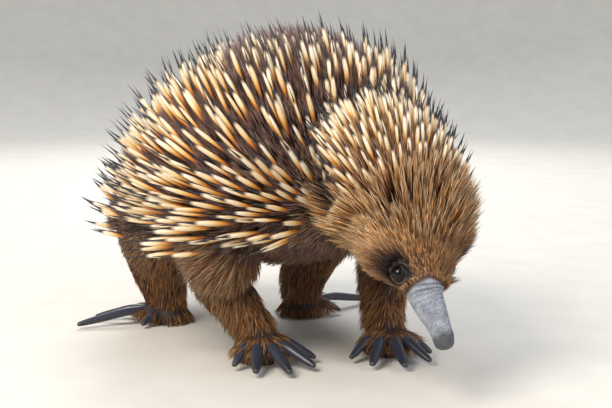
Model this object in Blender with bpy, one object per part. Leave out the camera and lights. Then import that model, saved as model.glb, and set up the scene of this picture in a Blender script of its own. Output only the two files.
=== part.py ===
"""A short-beaked echidna as a still, life-size model, standing in mid-step with its beak to the ground.

The animal faces +X, its left side is +Y and the floor is the plane z = 0. All sizes are in metres.
Each named part is one closed solid. Cores are smooth bodies, and spines and locks of hair are fused
onto them. Parts that touch keep GAP between their faces.
"""

import math
import random

import bmesh
import bpy
import numpy as np
from mathutils import Matrix, Vector
from mathutils.bvhtree import BVHTree

# Sizes that drive the whole animal
GAP = 0.0003
TORSO_MIDDLE_X = -0.004
TORSO_FRONT_REACH = 0.101
TORSO_REAR_REACH = 0.116
TORSO_HALF_WIDTH = 0.088
TORSO_WAIST_Z = 0.101
TORSO_ABOVE = 0.086
TORSO_BELOW = 0.053
TORSO_FULLNESS = 2.35
REAR_DROP = 0.032
FRONT_RISE = 0.008
EYE_RADIUS = 0.0046
EAR_PLACE = 0.223
EAR_ABOVE_SIDE = -2
EYE_CENTRES = {"right": (0.1483, -0.0152, 0.0707), "left": (0.1478, 0.0154, 0.0712)}

# Spines and hair
ROOT_COUNT = 448
SKIRT_SHARE = 0.55
LEG_LOCK_SPACING = 0.0175
HEAD_LOCK_SPACING = 0.0158
SPINE_LENGTH = 0.048
SPINE_RADIUS = 0.0019
SPINE_SUNK = 0.006
SPINE_SIDES = 3
LEAN_SINES = (0.34, 0.62)
LOCK_THICKNESS = 0.0022
LOCK_SUNK = 0.004
SEED = 7

# Each station is a centre, a half width across the body and a half depth.
HEAD_STATIONS = (
    ((0.086, 0.005, 0.126), 0.026, 0.024),
    ((0.101, 0.005, 0.117), 0.036, 0.030),
    ((0.116, 0.005, 0.105), 0.036, 0.030),
    ((0.130, 0.004, 0.090), 0.030, 0.025),
    ((0.141, 0.0010, 0.077), 0.0215, 0.018),
    ((0.149, -0.0012, 0.067), 0.0140, 0.0122),
    ((0.1535, -0.0024, 0.0610), 0.0102, 0.0093),
)
BEAK_STATIONS = (
    ((0.1475, -0.0008, 0.0690), 0.0098, 0.0090),
    ((0.1545, -0.0028, 0.0588), 0.0094, 0.0086),
    ((0.1587, -0.0017, 0.0510), 0.0075, 0.0067),
    ((0.1615, -0.0003, 0.0455), 0.0065, 0.0057),
    ((0.1637, 0.0005, 0.0410), 0.0062, 0.0054),
    ((0.1655, 0.0007, 0.0375), 0.0059, 0.0050),
    ((0.1664, 0.0006, 0.0352), 0.0040, 0.0034),
)
LEG_STATIONS = {
    "foreleg": (
        ((-0.006, 0.046, 0.094), 0.026, 0.030),
        ((-0.014, 0.054, 0.070), 0.024, 0.029),
        ((-0.019, 0.053, 0.050), 0.019, 0.024),
        ((-0.013, 0.046, 0.034), 0.0145, 0.018),
        ((-0.004, 0.040, 0.022), 0.0130, 0.0145),
        ((0.000, 0.038, 0.0175), 0.0125, 0.0135),
    ),
    "hindleg": (
        ((0.018, 0.050, 0.088), 0.030, 0.036),
        ((0.008, 0.056, 0.066), 0.028, 0.034),
        ((0.002, 0.053, 0.046), 0.022, 0.027),
        ((0.000, 0.048, 0.028), 0.0180, 0.020),
        ((0.000, 0.045, 0.0175), 0.0155, 0.0165),
    ),
}
# How far forward each foot stands, from the mid-step of the photograph
FOOT_X = {
    ("foreleg", "right"): 0.031,
    ("foreleg", "left"): 0.055,
    ("hindleg", "right"): -0.090,
    ("hindleg", "left"): -0.062,
}
FOOT_HALF = {"foreleg": (0.017, 0.0165, 0.012), "hindleg": (0.0165, 0.0155, 0.011)}
# The left forefoot is set down turned inward, by this many degrees
FOOT_TURN = {("foreleg", "left"): -24}
# A claw leaves the foot at this height and ends just above the floor
CLAW_TOP = {"foreleg": 0.0125, "hindleg": 0.0095}
CLAW_SIDES = 6
# Claws: angle from straight ahead in degrees (outward is positive), length, base half width and half height
CLAWS = {
    "foreleg": (
        (-46, 0.020, 0.0027, 0.0027),
        (-20, 0.027, 0.0032, 0.0029),
        (5, 0.029, 0.0034, 0.0030),
        (30, 0.025, 0.0032, 0.0029),
        (57, 0.016, 0.0027, 0.0026),
    ),
    "hindleg": (
        (62, 0.014, 0.0024, 0.0024),
        (98, 0.042, 0.0030, 0.0029),
        (121, 0.032, 0.0028, 0.0027),
        (145, 0.022, 0.0025, 0.0025),
        (168, 0.015, 0.0023, 0.0023),
    ),
}
TAIL_STATIONS = (
    ((-0.090, 0.0, 0.066), 0.026, 0.020),
    ((-0.108, 0.0, 0.060), 0.024, 0.018),
    ((-0.122, 0.0, 0.054), 0.018, 0.014),
    ((-0.134, 0.0, 0.049), 0.009, 0.007),
)

# Each finish is a linear colour and a roughness, and none is a metal
FINISHES = {
    "spines": ((0.46, 0.36, 0.22, 1), 0.45),
    "hair": ((0.20, 0.10, 0.045, 1), 0.75),
    "beak": ((0.30, 0.31, 0.34, 1), 0.50),
    "horn": ((0.045, 0.050, 0.065, 1), 0.35),
    "eye": ((0.010, 0.008, 0.008, 1), 0.08),
    "skin": ((0.10, 0.075, 0.065, 1), 0.60),
}


def unit(vector):
    return np.asarray(vector, float) / np.linalg.norm(vector)


class Torso:
    """The trunk: a blunt ellipsoid, high in the hump, low at the rump and steep in front."""

    def point(self, direction, lift=0.0):
        run = abs(direction[0])
        across = math.hypot(direction[1], direction[2])
        full = (run**TORSO_FULLNESS + across**TORSO_FULLNESS) ** (1 / TORSO_FULLNESS)
        along, side, height = np.asarray(direction) / full
        return self._place(along, side, height, lift)

    def _place(self, along, side, height, lift):
        centre_y, centre_z, width, above, below = self._section(along, lift)
        reach = (TORSO_FRONT_REACH if along > 0 else TORSO_REAR_REACH) + lift
        return np.array(
            [
                TORSO_MIDDLE_X + reach * along,
                centre_y + width * side,
                centre_z + (above if height > 0 else below) * height,
            ]
        )

    def _section(self, along, lift):
        rear, front = max(0.0, -along), max(0.0, along)
        centre_y = 0.004 * front**2
        centre_z = TORSO_WAIST_Z - REAR_DROP * rear**1.5 + FRONT_RISE * front
        width = (TORSO_HALF_WIDTH + lift) * (1 - 0.05 * front**2 - 0.10 * rear**2)
        above = (TORSO_ABOVE + lift) * (1 - 0.10 * rear - 0.08 * front)
        below = (TORSO_BELOW + lift) * (1 - 0.35 * rear**1.5)
        return centre_y, centre_z, width, above, below

    def normal(self, direction):
        """Outward normal, from two small steps round the unit sphere."""
        direction = unit(direction)
        other = (0, 0, 1) if abs(direction[2]) < 0.9 else (0, 1, 0)
        first = unit(np.cross(direction, other))
        second = np.cross(direction, first)
        step = 1e-4
        here = self.point(direction)
        slope_a = self.point(unit(direction + step * first)) - here
        slope_b = self.point(unit(direction + step * second)) - here
        normal = unit(np.cross(slope_a, slope_b))
        return normal if normal @ direction > 0 else -normal

    def mesh(self, name, lift=0.0):
        shell = bmesh.new()
        bmesh.ops.create_icosphere(shell, subdivisions=4, radius=1.0)
        for vertex in shell.verts:
            vertex.co = self.point(vertex.co, lift)
        return object_of(name, shell)


class Limb:
    """A round-ended tube through stations, smooth between them: a head, beak, leg or tail."""

    def __init__(self, stations, sides=14, rings=9):
        self.centres = np.array([s[0] for s in stations], float)
        self.radii = np.array([s[1:] for s in stations], float)
        self.sides = sides
        self.rings = rings

    def _smooth(self, values, t):
        """Catmull-Rom through the stations, with t from 0 to 1."""
        spans = len(values) - 1
        place = min(max(t, 0.0), 1.0) * spans
        i = min(int(place), spans - 1)
        u = place - i
        p0, p1, p2, p3 = (values[min(max(i + k, 0), spans)] for k in (-1, 0, 1, 2))
        return 0.5 * (
            2 * p1 + (p2 - p0) * u + (2 * p0 - 5 * p1 + 4 * p2 - p3) * u**2
            + (3 * p1 - p0 - 3 * p2 + p3) * u**3
        )

    def frame(self, t):
        centre = self._smooth(self.centres, t)
        step = 0.01
        ahead = unit(self._smooth(self.centres, t + step) - self._smooth(self.centres, t - step))
        side = unit(np.array([0, 1.0, 0]) - ahead[1] * ahead)
        front = np.cross(side, ahead)
        return centre, ahead, side, front, self._smooth(self.radii, t)

    def point(self, t, angle, lift=0.0):
        centre, _, side, front, (across, deep) = self.frame(t)
        return (
            centre
            + (across + lift) * math.cos(angle) * side
            + (deep + lift) * math.sin(angle) * front
        )

    def normal(self, t, angle):
        step = 0.005
        here = self.point(t, angle)
        along = self.point(min(t + step, 1), angle) - self.point(max(t - step, 0), angle)
        round_ = self.point(t, angle + step) - here
        normal = unit(np.cross(along, round_))
        return normal if normal @ (here - self.frame(t)[0]) > 0 else -normal

    def mesh(self, name, lift=0.0):
        """Rings along the tube, with a smaller ring and a point to round each end."""
        angles = [2 * math.pi * i / self.sides for i in range(self.sides)]
        rings = [[self.point(t, a, lift) for a in angles] for t in np.linspace(0, 1, self.rings)]
        for end in (0.0, 1.0):
            centre, ahead, _, _, radii = self.frame(end)
            out = ahead if end else -ahead
            bulge = 0.35 * radii.min() + lift
            edge = rings[-1] if end else rings[0]
            rim = [centre + 0.72 * (p - centre) + 0.7 * bulge * out for p in edge]
            tip = [centre + bulge * out]
            rings = rings + [rim, tip] if end else [tip, rim] + rings
        return loft(name, rings)


def object_of(name, shell):
    """The bmesh as a named object in the model's collection, with its faces turned out."""
    bmesh.ops.recalc_face_normals(shell, faces=shell.faces)
    mesh = bpy.data.meshes.new(name)
    shell.to_mesh(mesh)
    shell.free()
    made = bpy.data.objects.new(name, mesh)
    bpy.data.collections["echidna"].objects.link(made)
    return made


def loft(name, rings):
    """A closed surface through rings of points. A ring of one point closes that end in a tip."""
    shell = bmesh.new()
    loops = [[shell.verts.new(p) for p in ring] for ring in rings]
    for near, far in zip(loops, loops[1:]):
        count = max(len(near), len(far))
        for i in range(count):
            j = (i + 1) % count
            a, b = near[i % len(near)], near[j % len(near)]
            c, d = far[j % len(far)], far[i % len(far)]
            for corners in ((a, b, c), (a, c, d)):
                if len(set(corners)) == 3:
                    shell.faces.new(corners)
    for loop in (loops[0], loops[-1]):
        if len(loop) > 2:
            shell.faces.new(loop)
    return object_of(name, shell)


def boolean(target, operation, others):
    """Joins or cuts target with the others in one step, and removes them.

    The manifold solver is used, because the exact one takes minutes over hundreds of crossing spines.
    """
    tools = bpy.data.collections.new("tools")
    bpy.context.scene.collection.children.link(tools)
    for other in others:
        bpy.data.collections["echidna"].objects.unlink(other)
        tools.objects.link(other)
    modifier = target.modifiers.new("joined", "BOOLEAN")
    modifier.operation = operation
    modifier.solver = "MANIFOLD"
    modifier.operand_type = "COLLECTION"
    modifier.collection = tools
    bpy.context.view_layer.update()
    graph = bpy.context.evaluated_depsgraph_get()
    made = bpy.data.meshes.new_from_object(target.evaluated_get(graph))
    target.modifiers.clear()
    target.data = made
    for other in others:
        bpy.data.objects.remove(other)
    bpy.data.collections.remove(tools)
    return keep_largest(target)


def keep_largest(target):
    """Leaves only the largest closed surface, without loose scraps or sealed hollows."""
    shell = bmesh.new()
    shell.from_mesh(target.data)
    left = set(shell.verts)
    islands = []
    while left:
        island, edge = set(), [left.pop()]
        while edge:
            vertex = edge.pop()
            island.add(vertex)
            near = {e.other_vert(vertex) for e in vertex.link_edges} & left
            left -= near
            edge += near
        islands.append(island)
    islands.sort(key=lambda island: max(v.co.z for v in island) - min(v.co.z for v in island))
    for island in islands[:-1]:
        bmesh.ops.delete(shell, geom=list(island), context="VERTS")
    shell.to_mesh(target.data)
    shell.free()
    return target


class Coat:
    """All the spines and locks placed so far, so that those of different parts stay clear of each other."""

    def __init__(self, bodies):
        self.trees = {name: tree_of(body) for name, body in bodies.items()}
        self.owners = []
        self.starts = np.zeros((0, 3))
        self.ends = np.zeros((0, 3))
        self.radii = np.zeros(0)

    def clear(self, part, path, radius):
        """True if the stroke crosses no other part, none of its strokes, and not the floor."""
        if min(p[2] for p in path) < radius + 2 * GAP:
            return False
        shares = np.linspace(0, 1, 8)
        samples = [a + share * (b - a) for a, b in zip(path, path[1:]) for share in shares]
        for other, tree in self.trees.items():
            if other == part:
                continue
            for point in samples:
                near, normal, _, distance = tree.find_nearest(point)
                if distance < radius + 2 * GAP:
                    return False
                behind = (Vector(point) - near).dot(normal) < 0
                if behind and is_inside(tree, Vector(point)):
                    return False
        others = np.array([owner != part for owner in self.owners], bool)
        if not others.any():
            return True
        rooms = self.radii[others] + radius + GAP
        for a, b in zip(path, path[1:]):
            apart = segment_distances(a, b, self.starts[others], self.ends[others])
            if (apart < rooms).any():
                return False
        return True

    def add(self, part, path, radius):
        spans = len(path) - 1
        self.owners += [part] * spans
        self.starts = np.vstack([self.starts, path[:-1]])
        self.ends = np.vstack([self.ends, path[1:]])
        self.radii = np.append(self.radii, [radius] * spans)


def tree_of(made):
    shell = bmesh.new()
    shell.from_mesh(made.data)
    tree = BVHTree.FromBMesh(shell)
    shell.free()
    return tree


def is_inside(tree, point):
    """True if a ray straight up from the point leaves the body an odd number of times."""
    step = Vector((0, 0, 1e-6))
    hits = 0
    near = tree.ray_cast(point, Vector((0, 0, 1)))[0]
    while near is not None:
        hits += 1
        near = tree.ray_cast(near + step, Vector((0, 0, 1)))[0]
    return hits % 2 == 1


def segment_distances(a, b, starts, ends):
    """Smallest distance from the stretch a to b to each of the other stretches."""
    u, v, w = b - a, ends - starts, a - starts
    uu, uv, vv = u @ u, v @ u, (v * v).sum(1)
    uw, vw = w @ u, (v * w).sum(1)
    spread = np.maximum(uu * vv - uv * uv, 1e-15)
    s = np.clip((uv * vw - vv * uw) / spread, 0, 1)
    t = np.clip((uv * s + vw) / vv, 0, 1)
    s = np.clip((uv * t - uw) / uu, 0, 1)
    return np.linalg.norm(w + s[:, None] * u - t[:, None] * v, axis=1)


def stroke_path(root, normal, lie, length, leans, sunk):
    """Points of a hair or spine that starts under the skin and bends from one lean to the next."""
    path = [root - sunk * (0.9 * normal + 0.1 * lie)]
    point = root
    for lean in leans:
        way = unit(math.sin(lean) * normal + math.cos(lean) * lie)
        point = point + way * (length / len(leans))
        path.append(point)
    return path


def ring_round(point, ahead, flat, half_width, half_thickness, sides):
    side = unit(np.cross(ahead, flat))
    out = np.cross(side, ahead)
    return [
        point
        + half_width * math.cos(2 * math.pi * k / sides) * side
        + half_thickness * math.sin(2 * math.pi * k / sides) * out
        for k in range(sides)
    ]


def spine_rings(path, flat, radius):
    """A quill: narrow at the root, stoutest a third of the way up and drawn out to a point."""
    ahead = unit(path[-1] - path[0])
    belly = path[1]
    return [
        ring_round(path[0], ahead, flat, 0.75 * radius, 0.75 * radius, SPINE_SIDES),
        ring_round(belly, ahead, flat, radius, radius, SPINE_SIDES),
        [path[-1]],
    ]


def lock_rings(path, flat, half_width):
    """A flat lock: a narrow root, widest near its middle, and tapered to a point."""
    rings = []
    for i, point in enumerate(path[:-1]):
        ahead = unit(path[i + 1] - path[max(i - 1, 0)])
        width = half_width * (0.75, 1.0, 0.8, 0.55)[i]
        thick = 0.5 * LOCK_THICKNESS * (1.0, 1.0, 0.8, 0.6)[i]
        rings.append(ring_round(point, ahead, flat, width, thick, 4))
    rings.append([path[-1]])
    return rings


def lie_on(normal, way):
    """The direction on the surface that is nearest to the way the coat runs."""
    return unit(np.asarray(way) - (np.asarray(way) @ normal) * normal)


def torso_way(point, normal):
    """The lie of the coat on the trunk: to the rear, and upward on the flanks above the skirt."""
    rise = np.interp(point[2], (0.066, 0.080, 0.120, 0.165), (0.0, 0.30, 0.50, 1.30))
    rise *= 1 - 0.8 * max(0.0, normal[2]) ** 3
    sag = 0.25 * max(0.0, (0.070 - point[2]) / 0.03)
    fan = 0.55 * max(0.0, -0.07 - point[0]) / 0.05 * point[1] / 0.08
    return (-1.0, fan, rise - sag)


def even_directions(count):
    """Directions spread evenly over a sphere, on a golden spiral."""
    golden = math.pi * (3 - math.sqrt(5))
    for i in range(count):
        along = 1 - 2 * (i + 0.5) / count
        across = math.sqrt(1 - along * along)
        yield np.array([along, across * math.cos(golden * i), across * math.sin(golden * i)])


def carries_spines(point):
    """Above the skirt line, which rises from the rump to the shoulder and steeply to the neck."""
    skirt = np.interp(point[0], (-0.11, -0.01, 0.055, 0.088), (0.062, 0.076, 0.076, 0.106))
    return point[2] > skirt


def spine_lie(root, normal, lean):
    """The way of a spine that leans up from the coat's lie, as its lie on the skin and its lean there."""
    raised = unit(normal + np.array([0, 0, 0.9 * max(0.0, 0.2 - normal[2])]))
    wanted = unit(math.cos(lean) * unit(torso_way(root, normal)) + math.sin(lean) * raised)
    return lie_on(normal, wanted), math.asin(min(LEAN_SINES[1], max(LEAN_SINES[0], wanted @ normal)))


def torso_strokes(torso, coat, draw):
    """Spines over the back and locks along the flanks and chest, each as rings of points."""
    pieces = []
    for direction in even_directions(ROOT_COUNT):
        jitter = np.array([draw.uniform(-0.025, 0.025) for _ in range(3)])
        direction = unit(direction + jitter)
        root = torso.point(direction)
        normal = torso.normal(direction)
        lie = lie_on(normal, torso_way(root, normal))
        if carries_spines(root):
            crest = min(1.0, max(0.0, (root[0] - 0.045) / 0.04))
            rump = min(1.0, max(0.0, (-0.065 - root[0]) / 0.04))
            top = max(0.0, normal[2]) ** 2 * (1 - 0.5 * crest)
            length = SPINE_LENGTH * (1 - 0.18 * crest - 0.14 * rump - 0.26 * top) * draw.uniform(0.86, 1.06)
            lie, lean = spine_lie(root, normal, math.radians(25 + draw.uniform(-4, 4)))
            pieces += grow(coat, "torso", root, normal, lie, length, (lean, lean), None, draw)
        elif (abs(root[1]) > 0.03 or root[0] > 0.06) and draw.random() < SKIRT_SHARE:
            length = 0.030 * draw.uniform(0.85, 1.15)
            lean = math.radians(draw.uniform(14, 22))
            pieces += grow(
                coat, "torso", root, normal, lie, length, (lean, 0.3 * lean), 0.0070, draw
            )
    return pieces


def grow(coat, part, root, normal, lie, length, leans, half_width, draw):
    """Tries to place a spine, or a lock if it has a width, with other leans and lengths if it is in the way."""
    for share, turn, raise_ in (
        (1, 0, 0), (1, 0.2, 0.05), (1, -0.2, 0.05), (0.85, 0, 0.15), (0.8, 0.3, 0), (0.8, -0.3, 0),
        (0.7, 0, 0.3), (0.65, 0.5, 0.1), (0.65, -0.5, 0.1), (0.5, 0, 0.2),
    ):
        side = np.cross(normal, lie)
        way = unit(math.cos(turn) * lie + math.sin(turn) * side)
        tried = [lean + raise_ for lean in leans]
        sunk = LOCK_SUNK if half_width else SPINE_SUNK
        path = stroke_path(root, normal, way, share * length, tried, sunk)
        wide = half_width or SPINE_RADIUS
        if coat.clear(part, path, wide):
            coat.add(part, path, wide)
            if half_width:
                return [lock_rings(path, normal, half_width)]
            return [spine_rings(path, normal, SPINE_RADIUS * draw.uniform(0.9, 1.1))]
    return []


def limb_rows(limb, spacing, start, end):
    """Root places in rows along a limb, each row as many as its girth has room for."""
    total = sum(
        np.linalg.norm(limb.frame(b)[0] - limb.frame(a)[0])
        for a, b in zip(np.linspace(start, end, 21), np.linspace(start, end, 21)[1:])
    )
    rows = max(1, round(total / spacing))
    for row in range(rows):
        t = start + (end - start) * (row + 0.5) / rows
        girth = 2 * math.pi * limb.frame(t)[4].mean()
        count = max(3, round(girth / spacing))
        for k in range(count):
            yield t, 2 * math.pi * (k + 0.5 * (row % 2)) / count


def head_strokes(head, coat, draw):
    """Bristles that stand up from the nape and brow and sweep back round the cheeks."""
    pieces = []
    for t, angle in limb_rows(head, HEAD_LOCK_SPACING, 0.05, 0.80):
        root = head.point(t, angle)
        normal = head.normal(t, angle)
        lie = lie_on(normal, -head.frame(t)[1] + np.array([-0.25, 0, 0.15]))
        if any(np.linalg.norm(root - np.array(c)) < 0.0105 for c in EYE_CENTRES.values()):
            continue
        face = min(1.0, max(0.0, (t - 0.45) / 0.35))
        length = (0.027 - 0.013 * face) * draw.uniform(0.85, 1.1)
        lean = math.radians(34 - 10 * face + draw.uniform(-5, 5))
        half_width = 0.0054 - 0.0020 * face
        pieces += grow(coat, "head", root, normal, lie, length, (lean, 0.8 * lean), half_width, draw)
    return pieces


def leg_strokes(name, leg, coat, draw):
    """Locks that hang down the leg and flare over the foot."""
    pieces = []
    for t, angle in limb_rows(leg, LEG_LOCK_SPACING, 0.30, 0.90):
        root = leg.point(t, angle)
        normal = leg.normal(t, angle)
        lie = lie_on(normal, (-0.35, 0, -1))
        length = 0.023 * draw.uniform(0.85, 1.1)
        lean = math.radians(draw.uniform(14, 24))
        pieces += grow(coat, name, root, normal, lie, length, (lean, 0.6 * lean), 0.0062, draw)
    return pieces


def tail_strokes(tail, coat, draw):
    """Short spines that fan out round the stub of the tail."""
    pieces = []
    for t, angle in limb_rows(tail, 0.012, 0.45, 0.95):
        root = tail.point(t, angle)
        normal = tail.normal(t, angle)
        lie = lie_on(normal, tail.frame(t)[1])
        lean = math.radians(draw.uniform(16, 30))
        pieces += grow(coat, "tail", root, normal, lie, 0.026, (lean, lean), None, draw)
    return pieces


def fuse(core, pieces):
    """Joins a core's spines or locks onto it in one union."""
    boolean(core, "UNION", [loft(f"stroke_{i}", rings) for i, rings in enumerate(pieces)])


def sided(stations, side, shift):
    """Leg stations moved to their foot's place, and mirrored for the right side."""
    sign = 1 if side == "left" else -1
    return tuple(((x + shift, sign * y, z), across, deep) for (x, y, z), across, deep in stations)


def foot_mesh(name, kind, centre, lift=0.0):
    """A rounded pad with a flat sole on the floor."""
    half = FOOT_HALF[kind]
    size = Matrix.Diagonal((half[0] + lift, half[1] + lift, half[2] + lift, 1))
    place = Matrix.Translation((centre[0], centre[1], 0.55 * half[2]))
    shell = bmesh.new()
    bmesh.ops.create_uvsphere(shell, u_segments=14, v_segments=8, radius=1.0, matrix=place @ size)
    everything = list(shell.verts) + list(shell.edges) + list(shell.faces)
    bmesh.ops.bisect_plane(
        shell, geom=everything, plane_co=(0, 0, -lift), plane_no=(0, 0, 1), clear_inner=True
    )
    rim = [edge for edge in shell.edges if edge.is_boundary]
    bmesh.ops.contextual_create(shell, geom=rim)
    return object_of(name, shell)


def claw_path(kind, sign, centre, angle, length):
    """Points of a digging claw: out of the foot, level, then down to just above the floor."""
    turn = math.radians(angle)
    way = np.array([math.cos(turn), sign * math.sin(turn), 0.0])
    start = np.array([*centre, 0.0]) + 0.55 * FOOT_HALF[kind][0] * way
    top = CLAW_TOP[kind]
    bend = ((0.0, top), (0.45, 0.92 * top), (0.85, 0.58 * top), (1.28, 0.0030))
    return [start + way * length * along + np.array([0, 0, height]) for along, height in bend]


def claw_mesh(name, path, half_width, half_height, lift=0.0):
    """A long horn claw, flattened below and drawn to a blunt point."""
    rings = []
    for i, share in enumerate((0.6, 1.0, 0.82, 0.34)):
        ahead = unit(path[min(i + 1, 3)] - path[max(i - 1, 0)])
        across, deep = share * half_width + lift, share * half_height + lift
        rings.append(ring_round(path[i], ahead, (0, 0, 1), across, deep, CLAW_SIDES))
    return loft(name, rings)


def make_foot(kind, side):
    """A leg's pad and its five claws, and the cutters that part the leg from them."""
    sign = 1 if side == "left" else -1
    foot_name = f"{'forefoot' if kind == 'foreleg' else 'hindfoot'}_{side}"
    centre = (FOOT_X[kind, side] + 0.001, sign * LEG_STATIONS[kind][-1][0][1])
    made = [foot_mesh(foot_name, kind, centre)]
    cutters = [foot_mesh("cutter", kind, centre, GAP)]
    for number, (angle, length, half_width, half_height) in enumerate(CLAWS[kind], 1):
        angle += FOOT_TURN.get((kind, side), 0)
        path = claw_path(kind, sign, centre, angle, length)
        claw = claw_mesh(f"claw_{foot_name}_{number}", path, half_width, half_height)
        boolean(claw, "DIFFERENCE", [foot_mesh("cutter", kind, centre, GAP)])
        made.append(claw)
        cutters.append(claw_mesh("cutter", path, half_width, half_height, GAP))
    return made, cutters


def make_beak(head):
    """The bare snout with its two nostrils and the slit of the mouth, parted from the head."""
    beak_shape = Limb(BEAK_STATIONS, sides=14, rings=8)
    beak = beak_shape.mesh("beak")
    centre, ahead, side, front, (across, deep) = beak_shape.frame(0.93)
    cutters = []
    for sign in (-1, 1):
        shell = bmesh.new()
        place = Vector(centre + sign * 0.42 * across * side + 0.95 * deep * front)
        turn = Vector(ahead).to_track_quat("Z", "Y").to_matrix().to_4x4()
        bmesh.ops.create_icosphere(
            shell, subdivisions=2, radius=1.0,
            matrix=Matrix.Translation(place) @ turn @ Matrix.Diagonal((0.0008, 0.0008, 0.0017, 1)),
        )
        cutters.append(object_of("cutter", shell))
    slit = bmesh.new()
    turn = Matrix((Vector(side), Vector(front), Vector(ahead))).transposed().to_4x4()
    place = Vector(centre + 0.003 * ahead - 0.30 * deep * front)
    bmesh.ops.create_cube(
        slit, size=1.0,
        matrix=Matrix.Translation(place) @ turn @ Matrix.Diagonal((0.016, 0.0007, 0.0080, 1)),
    )
    cutters.append(object_of("cutter", slit))
    boolean(beak, "DIFFERENCE", cutters)
    return boolean(beak, "DIFFERENCE", [head.mesh("cutter", GAP)])


def make_eye(side):
    bpy.ops.mesh.primitive_uv_sphere_add(
        segments=12, ring_count=8, radius=EYE_RADIUS, location=EYE_CENTRES[side]
    )
    return adopt(f"eye_{side}")


def adopt(name):
    """Renames the object just added and moves it to the model's collection, with its place in its mesh."""
    made = bpy.context.active_object
    made.name = name
    for collection in made.users_collection:
        collection.objects.unlink(made)
    bpy.data.collections["echidna"].objects.link(made)
    made.data.transform(made.matrix_basis)
    made.matrix_basis = Matrix.Identity(4)
    return made


def eye_outward(side):
    """The way an eye looks: outward, forward and a little up."""
    sign = 1 if side == "left" else -1
    return unit((0.42, sign * 0.86, 0.10))


def make_lid(side):
    """The lids as one raised rim round the eye."""
    outward = eye_outward(side)
    turn = Vector(outward).to_track_quat("Z", "Y")
    centre = Vector(EYE_CENTRES[side]) + 0.0016 * Vector(outward)
    bpy.ops.mesh.primitive_torus_add(
        major_segments=14, minor_segments=5, major_radius=EYE_RADIUS * 0.98, minor_radius=0.0013,
        location=centre, rotation=turn.to_euler(),
    )
    return adopt(f"lid_{side}")


def eye_hole(side):
    bpy.ops.mesh.primitive_uv_sphere_add(
        segments=12, ring_count=8, radius=EYE_RADIUS + GAP, location=EYE_CENTRES[side]
    )
    return adopt("cutter")


def make_ear(side, head, torso):
    """The outer fold of the ear: a low open cup behind a slit, standing on the side of the head."""
    angle = math.radians(-EAR_ABOVE_SIDE if side == "left" else 180 + EAR_ABOVE_SIDE)
    root = head.point(EAR_PLACE, angle)
    outward = head.normal(EAR_PLACE, angle)
    turn = Vector(outward).to_track_quat("Z", "Y").to_matrix().to_4x4()
    shells = []
    for shrink, shift in ((1.0, 0.0), (0.74, 0.0016)):
        shell = bmesh.new()
        size = Matrix.Diagonal((0.0042 * shrink, 0.0085 * shrink, 0.0075, 1))
        place = Matrix.Translation(Vector(root + shift * outward))
        bmesh.ops.create_uvsphere(
            shell, u_segments=12, v_segments=8, radius=1.0, matrix=place @ turn @ size
        )
        shells.append(object_of(f"ear_{side}" if not shells else "cutter", shell))
    mouth = bmesh.new()
    opened = Vector(root + 0.0105 * outward + np.array([0.0025, 0, -0.0005]))
    bmesh.ops.create_cube(mouth, size=0.012, matrix=Matrix.Translation(opened) @ turn)
    ear, hollow = shells
    boolean(ear, "DIFFERENCE", [hollow])
    boolean(ear, "DIFFERENCE", [object_of("cutter", mouth)])
    boolean(ear, "DIFFERENCE", [head.mesh("cutter", GAP)])
    return boolean(ear, "DIFFERENCE", [torso.mesh("cutter", GAP)])


def finish_of(name):
    if name.startswith("claw"):
        return "horn"
    if name.startswith("eye"):
        return "eye"
    if name == "beak":
        return "beak"
    if name.startswith(("ear", "forefoot", "hindfoot")):
        return "skin"
    return "spines" if name in ("torso", "tail") else "hair"


def finish(part):
    """Gives a part a material of its own, in the finish that its name calls for."""
    kind = finish_of(part.name)
    colour, roughness = FINISHES[kind]
    made = bpy.data.materials.new(f"{part.name}_{kind}")
    made.use_nodes = True
    shader = made.node_tree.nodes["Principled BSDF"]
    shader.inputs["Base Color"].default_value = colour
    shader.inputs["Roughness"].default_value = roughness
    shader.inputs["Metallic"].default_value = 0.0
    part.data.materials.clear()
    part.data.materials.append(made)
    part.data.shade_smooth()
    part.data.set_sharp_from_angle(angle=math.radians(40))


def stand_at_origin(parts):
    """Moves the whole animal so that the middle of its box on the floor is the origin."""
    corners = np.array([v.co for part in parts for v in part.data.vertices])
    low, high = corners.min(0), corners.max(0)
    shift = Matrix.Translation((-(low[0] + high[0]) / 2, -(low[1] + high[1]) / 2, -low[2]))
    for part in parts:
        part.data.transform(shift)


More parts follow.
